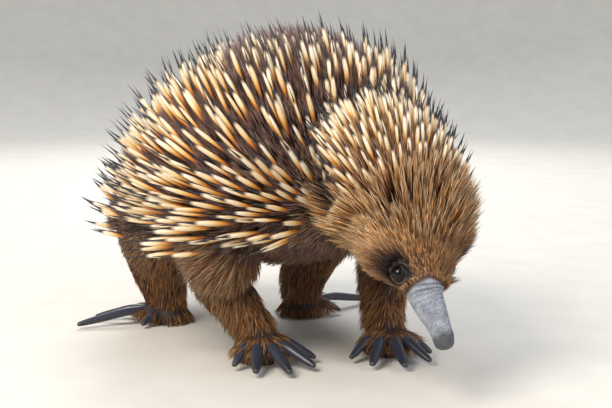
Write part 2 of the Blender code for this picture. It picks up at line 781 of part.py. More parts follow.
def main():
    for old in list(bpy.data.objects):
        bpy.data.objects.remove(old)
    bpy.context.scene.collection.children.link(bpy.data.collections.new("echidna"))
    draw = random.Random(SEED)

    torso = Torso()
    head = Limb(HEAD_STATIONS, sides=18, rings=11)
    tail = Limb(TAIL_STATIONS, sides=12, rings=5)
    legs = {
        f"{kind}_{side}": Limb(sided(LEG_STATIONS[kind], side, x), sides=12, rings=7)
        for (kind, side), x in FOOT_X.items()
    }
    bodies = {"torso": torso, "head": head, "tail": tail, **legs}
    solids = {name: body.mesh(name) for name, body in bodies.items()}

    for name in ("head", "tail", *legs):
        boolean(solids[name], "DIFFERENCE", [torso.mesh("cutter", GAP)])
    for kind, side in FOOT_X:
        made, cutters = make_foot(kind, side)
        solids.update({piece.name: piece for piece in made})
        for cutter in cutters:
            boolean(solids[f"{kind}_{side}"], "DIFFERENCE", [cutter])
    solids["beak"] = make_beak(head)
    for side in EYE_CENTRES:
        boolean(solids["head"], "UNION", [make_lid(side)])
        solids[f"ear_{side}"] = make_ear(side, head, torso)
    for side in EYE_CENTRES:
        boolean(solids["head"], "DIFFERENCE", [eye_hole(side)])
        solids[f"eye_{side}"] = make_eye(side)

    coat = Coat(solids)
    pieces = {"head": head_strokes(head, coat, draw), "tail": tail_strokes(tail, coat, draw)}
    for name, leg in legs.items():
        pieces[name] = leg_strokes(name, leg, coat, draw)
    pieces["torso"] = torso_strokes(torso, coat, draw)
    for name, strokes in pieces.items():
        fuse(solids[name], strokes)

    for part in solids.values():
        finish(part)
    stand_at_origin(list(solids.values()))


main()
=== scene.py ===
import math

import bmesh
import bpy
import numpy as np
from bpy.props import FloatProperty, FloatVectorProperty, IntProperty, PointerProperty
from mathutils import Matrix, Vector


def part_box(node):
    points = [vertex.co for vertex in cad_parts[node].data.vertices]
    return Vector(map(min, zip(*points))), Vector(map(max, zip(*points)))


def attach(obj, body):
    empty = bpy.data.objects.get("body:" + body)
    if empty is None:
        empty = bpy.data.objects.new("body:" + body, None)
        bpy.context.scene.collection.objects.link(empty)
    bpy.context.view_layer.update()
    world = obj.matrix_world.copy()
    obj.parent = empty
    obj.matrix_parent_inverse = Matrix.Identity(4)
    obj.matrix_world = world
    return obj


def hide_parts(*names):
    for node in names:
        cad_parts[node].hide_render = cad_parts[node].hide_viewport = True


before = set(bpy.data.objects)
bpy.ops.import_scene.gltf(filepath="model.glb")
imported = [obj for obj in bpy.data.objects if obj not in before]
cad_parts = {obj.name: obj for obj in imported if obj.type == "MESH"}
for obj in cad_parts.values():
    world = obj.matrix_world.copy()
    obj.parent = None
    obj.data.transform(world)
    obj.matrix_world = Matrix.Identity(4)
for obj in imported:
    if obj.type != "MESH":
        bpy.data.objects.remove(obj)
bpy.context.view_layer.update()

bl_info = {
    "name": "Short-beaked echidna",
    "version": (1, 0, 0),
    "blender": (4, 5, 0),
    "location": "View3D > Sidebar > Echidna",
    "description": "Dresses the still echidna model with skin, spines, hair, eyes and claws",
    "category": "Add Mesh",
}

BODY = "root"
SEED = 11
MM = 0.001

# The plan of the animal has its own origin, and the frame's right eye says how far it is moved
EYE_RADIUS = 4.6 * MM
EYE_OPENING = 3.75 * MM
EYE_PLAN = {"right": (0.1483, -0.0152, 0.0707), "left": (0.1478, 0.0154, 0.0712)}
EYE_LOW, EYE_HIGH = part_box("eye_right")
SHIFT = (np.array(EYE_LOW) + np.array(EYE_HIGH)) / 2 - np.array(EYE_PLAN["right"])

# The trunk is a blunt ellipsoid, high in the hump and low at the rump
TORSO_MIDDLE_X = -0.004
TORSO_FRONT_REACH = 0.101
TORSO_REAR_REACH = 0.116
TORSO_HALF_WIDTH = 0.088
TORSO_WAIST_Z = 0.101
TORSO_ABOVE = 0.086
TORSO_BELOW = 0.053
TORSO_FULLNESS = 2.35
REAR_DROP = 0.032
FRONT_RISE = 0.008

# Each station is a centre, a half width across the body and a half depth
HEAD_STATIONS = (
    ((0.062, 0.005, 0.128), 0.020, 0.018),
    ((0.086, 0.005, 0.126), 0.026, 0.024),
    ((0.101, 0.005, 0.117), 0.036, 0.030),
    ((0.116, 0.005, 0.105), 0.036, 0.030),
    ((0.130, 0.004, 0.090), 0.030, 0.025),
    ((0.141, 0.0010, 0.077), 0.0215, 0.018),
    ((0.1490, -0.0012, 0.0670), 0.0138, 0.0120),
    ((0.1543, -0.0030, 0.0590), 0.0100, 0.0088),
    ((0.1587, -0.0017, 0.0510), 0.0083, 0.0071),
    ((0.1615, -0.0003, 0.0455), 0.0069, 0.0060),
    ((0.1637, 0.0005, 0.0410), 0.0062, 0.0054),
    ((0.1653, 0.0007, 0.0380), 0.0060, 0.0051),
    ((0.1664, 0.0006, 0.0355), 0.0056, 0.0047),
)
LEG_STATIONS = {
    "foreleg": (
        ((-0.006, 0.046, 0.094), 0.026, 0.030),
        ((-0.014, 0.054, 0.070), 0.024, 0.029),
        ((-0.019, 0.053, 0.050), 0.019, 0.024),
        ((-0.013, 0.046, 0.034), 0.0145, 0.018),
        ((-0.004, 0.040, 0.022), 0.0130, 0.0145),
        ((0.001, 0.038, 0.0100), 0.0135, 0.0145),
    ),
    "hindleg": (
        ((0.018, 0.050, 0.088), 0.030, 0.036),
        ((0.008, 0.056, 0.066), 0.028, 0.034),
        ((0.002, 0.053, 0.046), 0.022, 0.027),
        ((0.000, 0.048, 0.028), 0.0180, 0.020),
        ((0.001, 0.045, 0.0100), 0.0150, 0.0160),
    ),
}
TAIL_STATIONS = (
    ((-0.090, 0.0, 0.066), 0.026, 0.020),
    ((-0.108, 0.0, 0.060), 0.024, 0.018),
    ((-0.122, 0.0, 0.054), 0.018, 0.014),
    ((-0.134, 0.0, 0.049), 0.009, 0.007),
)
FOOT_X = {
    ("foreleg", "right"): 0.031,
    ("foreleg", "left"): 0.055,
    ("hindleg", "right"): -0.090,
    ("hindleg", "left"): -0.062,
}
FOOT_HALF = {"foreleg": (0.017, 0.0165, 0.012), "hindleg": (0.0165, 0.0155, 0.011)}
# The left forefoot is set down turned inward, by this many degrees
FOOT_TURN = {("foreleg", "left"): -24}
# Angle from straight ahead in degrees, outward positive, then length, half width and half height
CLAWS = {
    "foreleg": (
        (-46, 0.020, 0.0027, 0.0027),
        (-20, 0.027, 0.0032, 0.0029),
        (5, 0.029, 0.0034, 0.0030),
        (30, 0.025, 0.0032, 0.0029),
        (57, 0.016, 0.0027, 0.0026),
    ),
    "hindleg": (
        (62, 0.014, 0.0024, 0.0024),
        (98, 0.042, 0.0030, 0.0029),
        (121, 0.032, 0.0028, 0.0027),
        (145, 0.022, 0.0025, 0.0025),
        (168, 0.015, 0.0023, 0.0023),
    ),
}
CLAW_TOP = {"foreleg": 0.0125, "hindleg": 0.0095}

# Where the naked beak begins and the ear lies, as shares of the way along the head's stations
BEAK_BASE = np.array(HEAD_STATIONS[7][0])
HAIRLINE = 0.545
# The bare skin runs up in a point on top of the beak, and the hair comes further down on its sides
HAIRLINE_POINT = math.radians(262)
HAIRLINE_DROP = 0.034
HAIRLINE_WIDTH = 1.4
EAR_PLACE = 0.195
EAR_ANGLE = 178
# Behind each ear is a patch of pale fuzz
FUZZ_PLAN = ((0.097, -0.030, 0.119), (0.097, 0.040, 0.119))
FUZZ_REACH = 10 * MM

# The coat's depth inside the solids' cores
TRUNK_INSET = 7.0 * MM
LIMB_INSET = 3.5 * MM
SKIN_VOXEL = 1.9 * MM

# Each tuft is a patch this wide on the unwrap
PATCH = 0.003
# A quill or hair is as thick as its radius times these widths, at these shares of its length
QUILL_PROFILE = ((0.04, 0.42), (0.30, 0.62), (0.46, 0.92), (0.56, 1.0), (0.68, 0.74), (0.80, 0.36))
SHORT_PROFILE = ((0.25, 1.0), (0.65, 0.8))
LONG_PROFILE = ((0.12, 0.9), (0.40, 1.0), (0.72, 0.7))
# A hair has this many sides and starts this far under the skin. It turns toward the middle of its tuft by
# the share CLUMP, and strays from it by about this many radians
HAIR_SIDES = 3
HAIR_SUNK = 1.0 * MM
CLUMP = 0.6
STRAY = 0.12
# The sine of a spine's lean away from the skin stays between these
LEAN_SINES = (0.42, 0.66)
NAPE_QUILLS = 215
# Successive nape quills turn by this share of the crown's width, so that they never line up
GOLDEN_SHARE = 0.618034
# The folds across the beak: millimetres beyond the hairline, and how deep each is
BEAK_FOLDS = (
    (1.2, 1.0), (3.2, 0.9), (4.8, 0.6), (6.8, 0.4), (9.2, 0.33), (11.5, 0.26), (14.5, 0.26), (18.5, 0.22),
    (23.0, 0.18),
)
# A claw's middle line: shares of its length, of its root's height, and of its thickness
CLAW_SHAPE = (
    (0.00, 1.00, 0.80), (0.45, 0.92, 1.12), (0.85, 0.62, 1.02), (1.10, 0.43, 0.84), (1.24, 0.33, 0.60),
)
# The two lumps of a toe: its share of the foot's length, its height over the sole under a claw of the
# height that follows, how much of a higher claw's rise it takes, and its size in claw widths
TOE_LUMPS = ((0.55, 8.6 * MM, 1.0, 1.9), (0.95, 8.0 * MM, 0.8, 1.45))
TOE_CLAW_TOP = 9.5 * MM

# The lights point at the middle of the body
LIGHT_AIM = (0, 0, 0.09)
# Each light's place, width, share of the key's power, and colour
LIGHTS = {
    "key": ((0.35, -0.95, 1.05), 0.8, 1.0, "#FFF6EA"),
    "fill": ((1.30, 0.35, 0.70), 1.1, 0.35, "#EAF1FF"),
    "back": ((-1.10, 0.55, 1.10), 0.9, 0.80, "#FFFFFF"),
}

# The photograph's camera, in the plan: its heading is 30 degrees off the animal's own
CAMERA_PLACE = (0.65876, -0.36689, 0.192)
CAMERA_HEADING = 30.0
CAMERA_PITCH = 7.782
CAMERA_LENS = 70.588


# Shapes of the animal


def unit(vectors):
    vectors = np.asarray(vectors, float)
    return vectors / np.maximum(np.linalg.norm(vectors, axis=-1, keepdims=True), 1e-12)


def smooth_step(low, high, value):
    share = np.clip((value - low) / (high - low), 0.0, 1.0)
    return share * share * (3 - 2 * share)


class Trunk:
    """The torso as a surface: points from directions, and how far a point is from it."""

    def __init__(self, lift):
        self.lift = lift

    def _section(self, along):
        rear, front = np.maximum(0, -along), np.maximum(0, along)
        centre_y = 0.004 * front**2
        centre_z = TORSO_WAIST_Z - REAR_DROP * rear**1.5 + FRONT_RISE * front
        width = (TORSO_HALF_WIDTH + self.lift) * (1 - 0.05 * front**2 - 0.10 * rear**2)
        above = (TORSO_ABOVE + self.lift) * (1 - 0.10 * rear - 0.08 * front)
        below = (TORSO_BELOW + self.lift) * (1 - 0.35 * rear**1.5)
        return centre_y, centre_z, width, above, below

    def points(self, directions):
        across = np.hypot(directions[:, 1], directions[:, 2])
        power = TORSO_FULLNESS
        full = (np.abs(directions[:, 0]) ** power + across**power) ** (1 / power)
        along, side, height = (directions / full[:, None]).T
        centre_y, centre_z, width, above, below = self._section(along)
        reach = np.where(along > 0, TORSO_FRONT_REACH, TORSO_REAR_REACH) + self.lift
        return np.column_stack(
            [
                TORSO_MIDDLE_X + reach * along,
                centre_y + width * side,
                centre_z + np.where(height > 0, above, below) * height,
            ]
        )

    def normals(self, directions):
        step = 1e-4
        other = np.where(np.abs(directions[:, 2:3]) < 0.9, [[0, 0, 1.0]], [[0, 1.0, 0]])
        first = unit(np.cross(directions, other))
        second = np.cross(directions, first)
        here = self.points(directions)
        slope_a = self.points(unit(directions + step * first)) - here
        slope_b = self.points(unit(directions + step * second)) - here
        normals = unit(np.cross(slope_a, slope_b))
        return normals * np.sign((normals * directions).sum(1, keepdims=True))

    def gap(self, places):
        """Rough distance of places outside the surface, negative inside."""
        reach = np.where(places[:, 0] > TORSO_MIDDLE_X, TORSO_FRONT_REACH, TORSO_REAR_REACH) + self.lift
        along = np.clip((places[:, 0] - TORSO_MIDDLE_X) / reach, -1, 1)
        centre_y, centre_z, width, above, below = self._section(along)
        side = (places[:, 1] - centre_y) / width
        up = places[:, 2] - centre_z
        height = up / np.where(up > 0, above, below)
        power = TORSO_FULLNESS
        run = np.abs((places[:, 0] - TORSO_MIDDLE_X) / reach)
        full = (run**power + np.hypot(side, height) ** power) ** (1 / power)
        return (full - 1) * 0.085


class Tube:
    """A round-ended tube through stations: the head with its beak, a leg or the tail."""

    def __init__(self, stations, inset=0.0):
        self.centres = np.array([s[0] for s in stations], float)
        self.radii = np.array([s[1:] for s in stations], float)
        self.inset = inset

    def _smooth(self, values, t):
        spans = len(values) - 1
        place = np.clip(np.asarray(t, float), 0, 1) * spans
        i = np.minimum(place.astype(int), spans - 1)
        u = (place - i)[:, None]
        p0, p1, p2, p3 = (values[np.clip(i + k, 0, spans)] for k in (-1, 0, 1, 2))
        return 0.5 * (
            2 * p1 + (p2 - p0) * u + (2 * p0 - 5 * p1 + 4 * p2 - p3) * u**2
            + (3 * p1 - p0 - 3 * p2 + p3) * u**3
        )

    def inset_at(self, t):
        return self.inset(t) if callable(self.inset) else np.full(len(t), float(self.inset))

    def frames(self, t):
        """Centre, direction, side, underside and the two radii at each share t of the way."""
        t = np.atleast_1d(np.asarray(t, float))
        step = 0.01
        ahead = unit(self._smooth(self.centres, t + step) - self._smooth(self.centres, t - step))
        side = unit(np.array([0, 1.0, 0]) - ahead[:, 1:2] * ahead)
        under = np.cross(side, ahead)
        radii = self._smooth(self.radii, t) - self.inset_at(t)[:, None]
        return self._smooth(self.centres, t), ahead, side, under, radii

    def points(self, t, angle, lift=0.0):
        centre, _, side, under, radii = self.frames(t)
        across = (radii[:, 0] + lift) * np.cos(angle)
        deep = (radii[:, 1] + lift) * np.sin(angle)
        return centre + across[:, None] * side + deep[:, None] * under

    def normals(self, t, angle):
        step = 0.004
        along = self.points(np.minimum(t + step, 1), angle) - self.points(np.maximum(t - step, 0), angle)
        round_ = self.points(t, angle + step) - self.points(t, angle - step)
        normals = unit(np.cross(along, round_))
        outward = self.points(t, angle) - self.frames(t)[0]
        return normals * np.sign((normals * outward).sum(1, keepdims=True))

    def nearest(self, places, count=61):
        """The share along, the angle round and the rough distance outside, for each place."""
        shares = np.linspace(0, 1, count)
        centre, ahead, side, under, radii = self.frames(shares)
        offsets = places[:, None, :] - centre[None]
        best = np.argmin((offsets**2).sum(2), axis=1)
        offset = offsets[np.arange(len(places)), best]
        along = (offset * ahead[best]).sum(1)
        a = (offset * side[best]).sum(1)
        b = (offset * under[best]).sum(1)
        across, deep = radii[best].T
        ratio = np.sqrt((a / across) ** 2 + (b / deep) ** 2)
        beyond = np.where((best == 0) | (best == count - 1), np.abs(along), 0)
        return shares[best], np.arctan2(b / deep, a / across), (ratio - 1) * 0.5 * (across + deep) + beyond

    def grid(self, sides, shares, reach=0.5):
        """Rings of points at these shares of the tube, with both ends rounded to a point."""
        angles = np.linspace(0, 2 * math.pi, sides, endpoint=False)
        rows = [self.points(np.full(sides, t), angles) for t in shares]
        for end in (0.0, 1.0):
            centre, ahead, _, _, radii = (part[0] for part in self.frames(end))
            out = ahead if end else -ahead
            edge = rows[-1] if end else rows[0]
            caps = []
            for turn in (0.3, 0.6, 0.85, 1.1, 1.3):
                bulge = reach * radii.min() * math.sin(turn)
                caps.append(centre + math.cos(turn) * (edge - centre) + bulge * out)
            caps.append(np.array([centre + reach * radii.min() * out]))
            rows = rows + caps if end else caps[::-1] + rows
        return rows


def placed(name, data):
    """A new object in the scene, with this mesh, light or camera."""
    made = bpy.data.objects.new(name, data)
    bpy.context.scene.collection.objects.link(made)
    return made


def make_mesh(name, points, faces):
    """A mesh object in the row frame from points in the plan."""
    mesh = bpy.data.meshes.new(name)
    mesh.from_pydata([tuple(p) for p in np.asarray(points) + SHIFT], [], faces)
    mesh.validate()
    mesh.shade_smooth()
    return placed(name, mesh)


def loft(name, rows):
    """A closed surface through rings of points. A ring of one point closes that end."""
    points = np.vstack(rows)
    starts = np.cumsum([0] + [len(row) for row in rows])
    faces = []
    for k, (near, far) in enumerate(zip(rows, rows[1:])):
        a, b = starts[k], starts[k + 1]
        count = max(len(near), len(far))
        for i in range(count):
            j = (i + 1) % count
            if len(near) == 1:
                faces.append((a, b + j, b + i))
            elif len(far) == 1:
                faces.append((a + i, a + j, b))
            else:
                faces.append((a + i, a + j, b + j, b + i))
    made = make_mesh(name, points, faces)
    shell = bmesh.new()
    shell.from_mesh(made.data)
    bmesh.ops.recalc_face_normals(shell, faces=shell.faces)
    shell.to_mesh(made.data)
    shell.free()
    return made


def outward_sign(side):
    """The sign of y on this side of the animal."""
    return 1 if side == "left" else -1


def sided(stations, side, shift):
    sign = outward_sign(side)
    return tuple(((x + shift, sign * y, z), across, deep) for (x, y, z), across, deep in stations)


def leg_tubes():
    return {
        f"{kind}_{side}": Tube(sided(LEG_STATIONS[kind], side, x), LIMB_INSET)
        for (kind, side), x in FOOT_X.items()
    }


def head_inset(t):
    """The head's skin lies under its hair, and comes to the surface at the hairline."""
    return LIMB_INSET * (1 - smooth_step(0.30, HAIRLINE, np.asarray(t)))


HEAD = Tube(HEAD_STATIONS, head_inset)
TAIL = Tube(TAIL_STATIONS, LIMB_INSET)
LEGS = leg_tubes()
TRUNK = Trunk(-TRUNK_INSET)


def hairline(angle):
    """The share along the head where the bare skin begins, and how far round from its point that is."""
    away = np.abs((angle - HAIRLINE_POINT + math.pi) % (2 * math.pi) - math.pi)
    return HAIRLINE + HAIRLINE_DROP * (np.clip(away / HAIRLINE_WIDTH, 0, 1) - 0.12), away


def eye_outward(side):
    """The way an eye looks: outward, forward and a little up."""
    return unit((0.42, outward_sign(side) * 0.86, 0.10))


def foot_centre(kind, side):
    return np.array([FOOT_X[kind, side] + 0.001, outward_sign(side) * LEG_STATIONS[kind][-1][0][1], 0.0])


def claw_way(kind, side, angle):
    """The level direction of a claw, from its angle off straight ahead in degrees."""
    turn = math.radians(angle + FOOT_TURN.get((kind, side), 0))
    return np.array([math.cos(turn), outward_sign(side) * math.sin(turn), 0.0])


# Materials


def linear(code):
    """A linear colour from an sRGB hex value."""
    parts = [int(code[i : i + 2], 16) / 255 for i in (1, 3, 5)]
    return tuple(p / 12.92 if p <= 0.04045 else ((p + 0.055) / 1.055) ** 2.4 for p in parts) + (1.0,)


def add_node(tree, kind, inputs=None, **settings):
    """Adds a node with its settings. An input's value is a number, a colour or another node's output."""
    node = tree.nodes.new(kind)
    for key, value in settings.items():
        setattr(node, key, value)
    for key, value in (inputs or {}).items():
        if isinstance(value, bpy.types.NodeSocket):
            tree.links.new(value, node.inputs[key])
        else:
            node.inputs[key].default_value = value
    return node


def new_material(name, roughness, ior):
    made = bpy.data.materials.new(name)
    made.use_nodes = True
    shader = made.node_tree.nodes["Principled BSDF"]
    shader.inputs["Roughness"].default_value = roughness
    shader.inputs["IOR"].default_value = ior
    return made, made.node_tree, shader


def colour_ramp(tree, factor, stops):
    """A colour ramp through (position, hex) stops."""
    node = add_node(tree, "ShaderNodeValToRGB", {"Fac": factor})
    ramp = node.color_ramp
    while len(ramp.elements) < len(stops):
        ramp.elements.new(0.5)
    for element, (position, code) in zip(ramp.elements, stops):
        element.position = position
        element.color = linear(code)
    return node.outputs["Color"]


def attribute(tree, name):
    return add_node(tree, "ShaderNodeAttribute", attribute_name=name).outputs["Fac"]


def object_coordinates(tree):
    return add_node(tree, "ShaderNodeTexCoord").outputs["Object"]


def noise(tree, size, detail, roughness=0.5):
    """A noise whose spots are about this size, fixed to the object."""
    inputs = {
        "Vector": object_coordinates(tree), "Scale": 1 / size, "Detail": detail, "Roughness": roughness,
    }
    return add_node(tree, "ShaderNodeTexNoise", inputs).outputs["Fac"]


def mixed(tree, factor, first, second, blend="MIX"):
    """Two colours mixed by a factor."""
    node = tree.nodes.new("ShaderNodeMix")
    node.data_type = "RGBA"
    node.blend_type = blend
    for socket, value in zip((node.inputs[0], node.inputs[6], node.inputs[7]), (factor, first, second)):
        if isinstance(value, bpy.types.NodeSocket):
            tree.links.new(value, socket)
        elif isinstance(value, str):
            socket.default_value = linear(value)
        else:
            socket.default_value = value
    return node.outputs[2]


def quill_keratin():
    """Quills are hard keratin: amber at the foot, cream along the shaft, blue-black at the point, with a
    low gloss."""
    made, tree, shader = new_material("quill_keratin", 0.38, 1.55)
    shaft = colour_ramp(
        tree, attribute(tree, "along"),
        (
            (0.00, "#22110C"), (0.25, "#56280D"), (0.34, "#C87A1E"), (0.42, "#EDB152"), (0.51, "#FFEBBE"),
            (0.60, "#FFF8E8"), (0.67, "#FFFDF6"), (0.705, "#B9AFA0"), (0.735, "#242436"), (1.00, "#131524"),
        ),
    )
    aged = mixed(tree, noise(tree, 18 * MM, 3.0), "#FFFFFF", "#F1DFC2")
    tinted = mixed(tree, 1.0, shaft, aged, "MULTIPLY")
    shaded = mixed(tree, attribute(tree, "shade"), "#E2C99A", "#FFFFFF")
    tree.links.new(mixed(tree, 1.0, tinted, shaded, "MULTIPLY"), shader.inputs["Base Color"])
    return made


def guard_hair():
    """Coarse guard hair: dark at the root, brown to gold at the tip, with a soft gloss along each hair."""
    made, tree, shader = new_material("guard_hair", 0.50, 1.55)
    along = attribute(tree, "along")
    dark = colour_ramp(tree, along, ((0, "#160B0C"), (0.5, "#432A2C"), (1, "#93716F")))
    gold = colour_ramp(tree, along, ((0, "#1A0C06"), (0.35, "#693815"), (0.72, "#D08C42"), (1, "#FADAA2")))
    pale = colour_ramp(tree, along, ((0, "#3A2413"), (0.4, "#A27D4C"), (0.75, "#E8D3A8"), (1, "#F5EBD2")))
    toned = mixed(tree, attribute(tree, "tone"), dark, gold)
    streaked = mixed(tree, attribute(tree, "pale"), toned, pale)
    shaded = mixed(tree, attribute(tree, "shade"), "#443430", "#FFFFFF")
    tree.links.new(mixed(tree, 1.0, streaked, shaded, "MULTIPLY"), shader.inputs["Base Color"])
    return made


def leathery_skin():
    """Bare skin: blue-grey and finely creased on the beak, with painted shade in its creases and fold
    grooves, dark round the eyes and under the coat, with a painted highlight along each lower lid, so the eye
    sees leather."""
    made, tree, shader = new_material("leathery_skin", 0.62, 1.45)
    flattened = add_node(
        tree, "ShaderNodeMapping", {"Vector": object_coordinates(tree), "Scale": (1.0, 1.0, 2.1)}
    )
    folds = add_node(
        tree, "ShaderNodeTexVoronoi", {"Vector": flattened.outputs["Vector"], "Scale": 1 / (1.7 * MM)},
        feature="DISTANCE_TO_EDGE",
    )
    cloud = noise(tree, 6 * MM, 5.0)
    tint = colour_ramp(tree, cloud, ((0.30, "#868C99"), (0.50, "#A3A9B4"), (0.72, "#B9BEC7")))
    depth = folds.outputs["Distance"]
    # painted shade: the grooves between the fine folds of the skin are darkened
    fold_shade = colour_ramp(tree, depth, ((0, "#BDBBBE"), (0.10, "#E8E8E8"), (0.3, "#FFFFFF")))
    # painted shade: the beak's cross creases are darkened where the crease mask is high
    crease_shaded_tint = mixed(tree, attribute(tree, "crease_shade"), tint, "#3E3C40")
    beak = mixed(tree, 1.0, crease_shaded_tint, fold_shade, "MULTIPLY")
    under = colour_ramp(tree, cloud, ((0.35, "#2E1C12"), (0.65, "#4B3020")))
    coloured = mixed(tree, attribute(tree, "beak"), under, beak)
    wet = mixed(tree, attribute(tree, "dark"), coloured, "#15100F")
    # painted highlight: a lighter line along the rim of each lower lid
    lid_highlighted = mixed(tree, attribute(tree, "rim"), wet, "#7A6660")
    footed = mixed(tree, attribute(tree, "toe"), lid_highlighted, "#2F2726")
    tree.links.new(footed, shader.inputs["Base Color"])
    pebbled = add_node(tree, "ShaderNodeBump", {"Strength": 0.7, "Distance": 0.30 * MM, "Height": depth})
    wrinkles = {
        "Strength": 0.6, "Distance": 0.35 * MM, "Height": noise(tree, 1.6 * MM, 6.0, 0.65),
        "Normal": pebbled.outputs["Normal"],
    }
    creased = add_node(tree, "ShaderNodeBump", wrinkles)
    tree.links.new(creased.outputs["Normal"], shader.inputs["Normal"])
    sheen = colour_ramp(tree, attribute(tree, "dark"), ((0.0, "#CDCDCD"), (1.0, "#B4B4B4")))
    tree.links.new(sheen, shader.inputs["Roughness"])
    return made


def worn_claw_horn():
    """Claw horn: slate-black keratin worn smooth by digging, with fine lengthwise scratches."""
    made, tree, shader = new_material("worn_claw_horn", 0.34, 1.55)
    along = attribute(tree, "along")
    length = colour_ramp(tree, along, ((0, "#3E4250"), (0.35, "#2D303D"), (0.8, "#20222B"), (1, "#35353B")))
    scuffs = noise(tree, 2.2 * MM, 6.0)
    scuffed = colour_ramp(tree, scuffs, ((0.45, "#FFFFFF"), (0.75, "#B9BDCB")))
    worn = mixed(tree, 0.35, length, scuffed, "SOFT_LIGHT")
    tree.links.new(worn, shader.inputs["Base Color"])
    bump = add_node(tree, "ShaderNodeBump", {"Strength": 0.25, "Distance": 0.1 * MM, "Height": scuffs})
    tree.links.new(bump.outputs["Normal"], shader.inputs["Normal"])
    return made


def wet_eye():
    """A wet, nearly black eye with a brown iris that shows only close up."""
    made, tree, shader = new_material("wet_eye", 0.05, 1.376)
    along = attribute(tree, "along")
    iris = colour_ramp(tree, along, ((0, "#020202"), (0.42, "#040303"), (0.52, "#0F0906"), (0.8, "#070504")))
    tree.links.new(iris, shader.inputs["Base Color"])
    return made


def studio_paper():
    """Seamless backdrop paper: matte and faintly mottled."""
    made, tree, shader = new_material("studio_paper", 0.9, 1.45)
    grain = colour_ramp(tree, noise(tree, 40 * MM, 4.0), ((0.3, "#D9D6CF"), (0.7, "#E0DDD6")))
    tree.links.new(grain, shader.inputs["Base Color"])
    return made


# The coat


def write_float(mesh, name, values):
    mesh.attributes.new(name, "FLOAT", "POINT").data.foreach_set("value", np.asarray(values, np.float32))


def read_all(items, key, width, kind=float):
    """One property of every vertex, loop or triangle, as rows of numbers."""
    values = np.empty(len(items) * width, kind)
    items.foreach_get(key, values)
    return values.reshape(-1, width)


class Strands:
    """Many hairs or quills grown together as one mesh of slim, closed, tapered tubes."""

    def __init__(self, root, normal, lie, uv):
        self.root, self.normal, self.lie, self.uv = root, normal, unit(lie), uv
        self.count = len(root)

    def grow(self, length, radius, lean, end_lean, turn, profile, sides, sunk):
        """Lays out every strand: it leaves at one lean and ends at another, and turns to one side."""
        shares = np.array([share for share, _ in profile])
        widths = np.array([width for _, width in profile])
        side = np.cross(self.normal, self.lie)
        point = self.root - sunk * self.normal
        spots, ways = [point], []
        last = 0.0
        for share in np.append(shares, 1.0):
            middle = 0.5 * (share + last)
            theta = lean + (end_lean - lean) * middle
            phi = turn * middle
            level = np.cos(phi)[:, None] * self.lie + np.sin(phi)[:, None] * side
            way = np.cos(theta)[:, None] * level + np.sin(theta)[:, None] * self.normal
            point = point + (length * (share - last))[:, None] * way
            spots.append(point)
            ways.append(way)
            last = share
        rings = []
        for k, width in enumerate(widths):
            way = unit(ways[k] + ways[min(k + 1, len(ways) - 1)])
            across = unit(np.cross(way, self.normal))
            out = np.cross(across, way)
            for j in range(sides):
                spin = 2 * math.pi * j / sides
                reach = (radius * width)[:, None]
                rings.append(spots[k + 1] + reach * (math.cos(spin) * across + math.sin(spin) * out))
        layers = [spots[0]] + rings + [spots[-1]]
        self.points = np.stack(layers, axis=1).astype(np.float32)
        self.shares = np.concatenate([[0.0], np.repeat(shares, sides), [1.0]])
        self.sides, self.rings = sides, len(widths)
        self.across = np.concatenate([[0.5], np.tile(np.arange(sides) / sides, len(widths)), [0.5]])
        return self

    def _faces(self):
        """Vertex numbers of one strand's triangles and quads, with their sizes."""
        loops, sizes = [], []
        tip = 1 + self.sides * self.rings
        for j in range(self.sides):
            nxt = (j + 1) % self.sides
            loops += [0, 1 + nxt, 1 + j]
            sizes.append(3)
        for k in range(self.rings - 1):
            a, b = 1 + k * self.sides, 1 + (k + 1) * self.sides
            for j in range(self.sides):
                nxt = (j + 1) % self.sides
                loops += [a + j, a + nxt, b + nxt, b + j]
                sizes.append(4)
        a = 1 + (self.rings - 1) * self.sides
        for j in range(self.sides):
            nxt = (j + 1) % self.sides
            loops += [a + j, a + nxt, tip]
            sizes.append(3)
        return np.array(loops), np.array(sizes)

    def mesh(self, name, per_strand):
        """The mesh object, with float attributes for each strand and its patch on the OFBake map."""
        loops, sizes = self._faces()
        each = self.points.shape[1]
        first = (np.arange(self.count) * each)[:, None]
        all_loops = (loops[None] + first).ravel().astype(np.int32)
        starts = np.concatenate([[0], np.cumsum(sizes)])
        all_starts = (starts[:-1][None] + (np.arange(self.count) * starts[-1])[:, None]).ravel()
        mesh = bpy.data.meshes.new(name)
        mesh.vertices.add(self.count * each)
        points = self.points.reshape(-1, 3) + SHIFT.astype(np.float32)
        points[:, 2] = np.maximum(points[:, 2], 0.2 * MM)
        mesh.vertices.foreach_set("co", points.ravel())
        mesh.loops.add(len(all_loops))
        mesh.loops.foreach_set("vertex_index", all_loops)
        mesh.polygons.add(len(all_starts))
        mesh.polygons.foreach_set("loop_start", all_starts.astype(np.int32))
        mesh.update(calc_edges=True)
        mesh.shade_smooth()
        write_float(mesh, "along", np.tile(self.shares, self.count))
        for key, values in per_strand.items():
            write_float(mesh, key, np.repeat(values, each))
        corner_u = np.repeat(self.uv[:, 0], each) + PATCH * np.tile(self.across, self.count)
        corner_v = np.repeat(self.uv[:, 1], each) + PATCH * np.tile(self.shares, self.count)
        corners = np.stack([corner_u, corner_v], axis=1)[all_loops]
        mesh.uv_layers.new(name="OFBake").data.foreach_set("uv", corners.astype(np.float32).ravel())
        return placed(name, mesh)


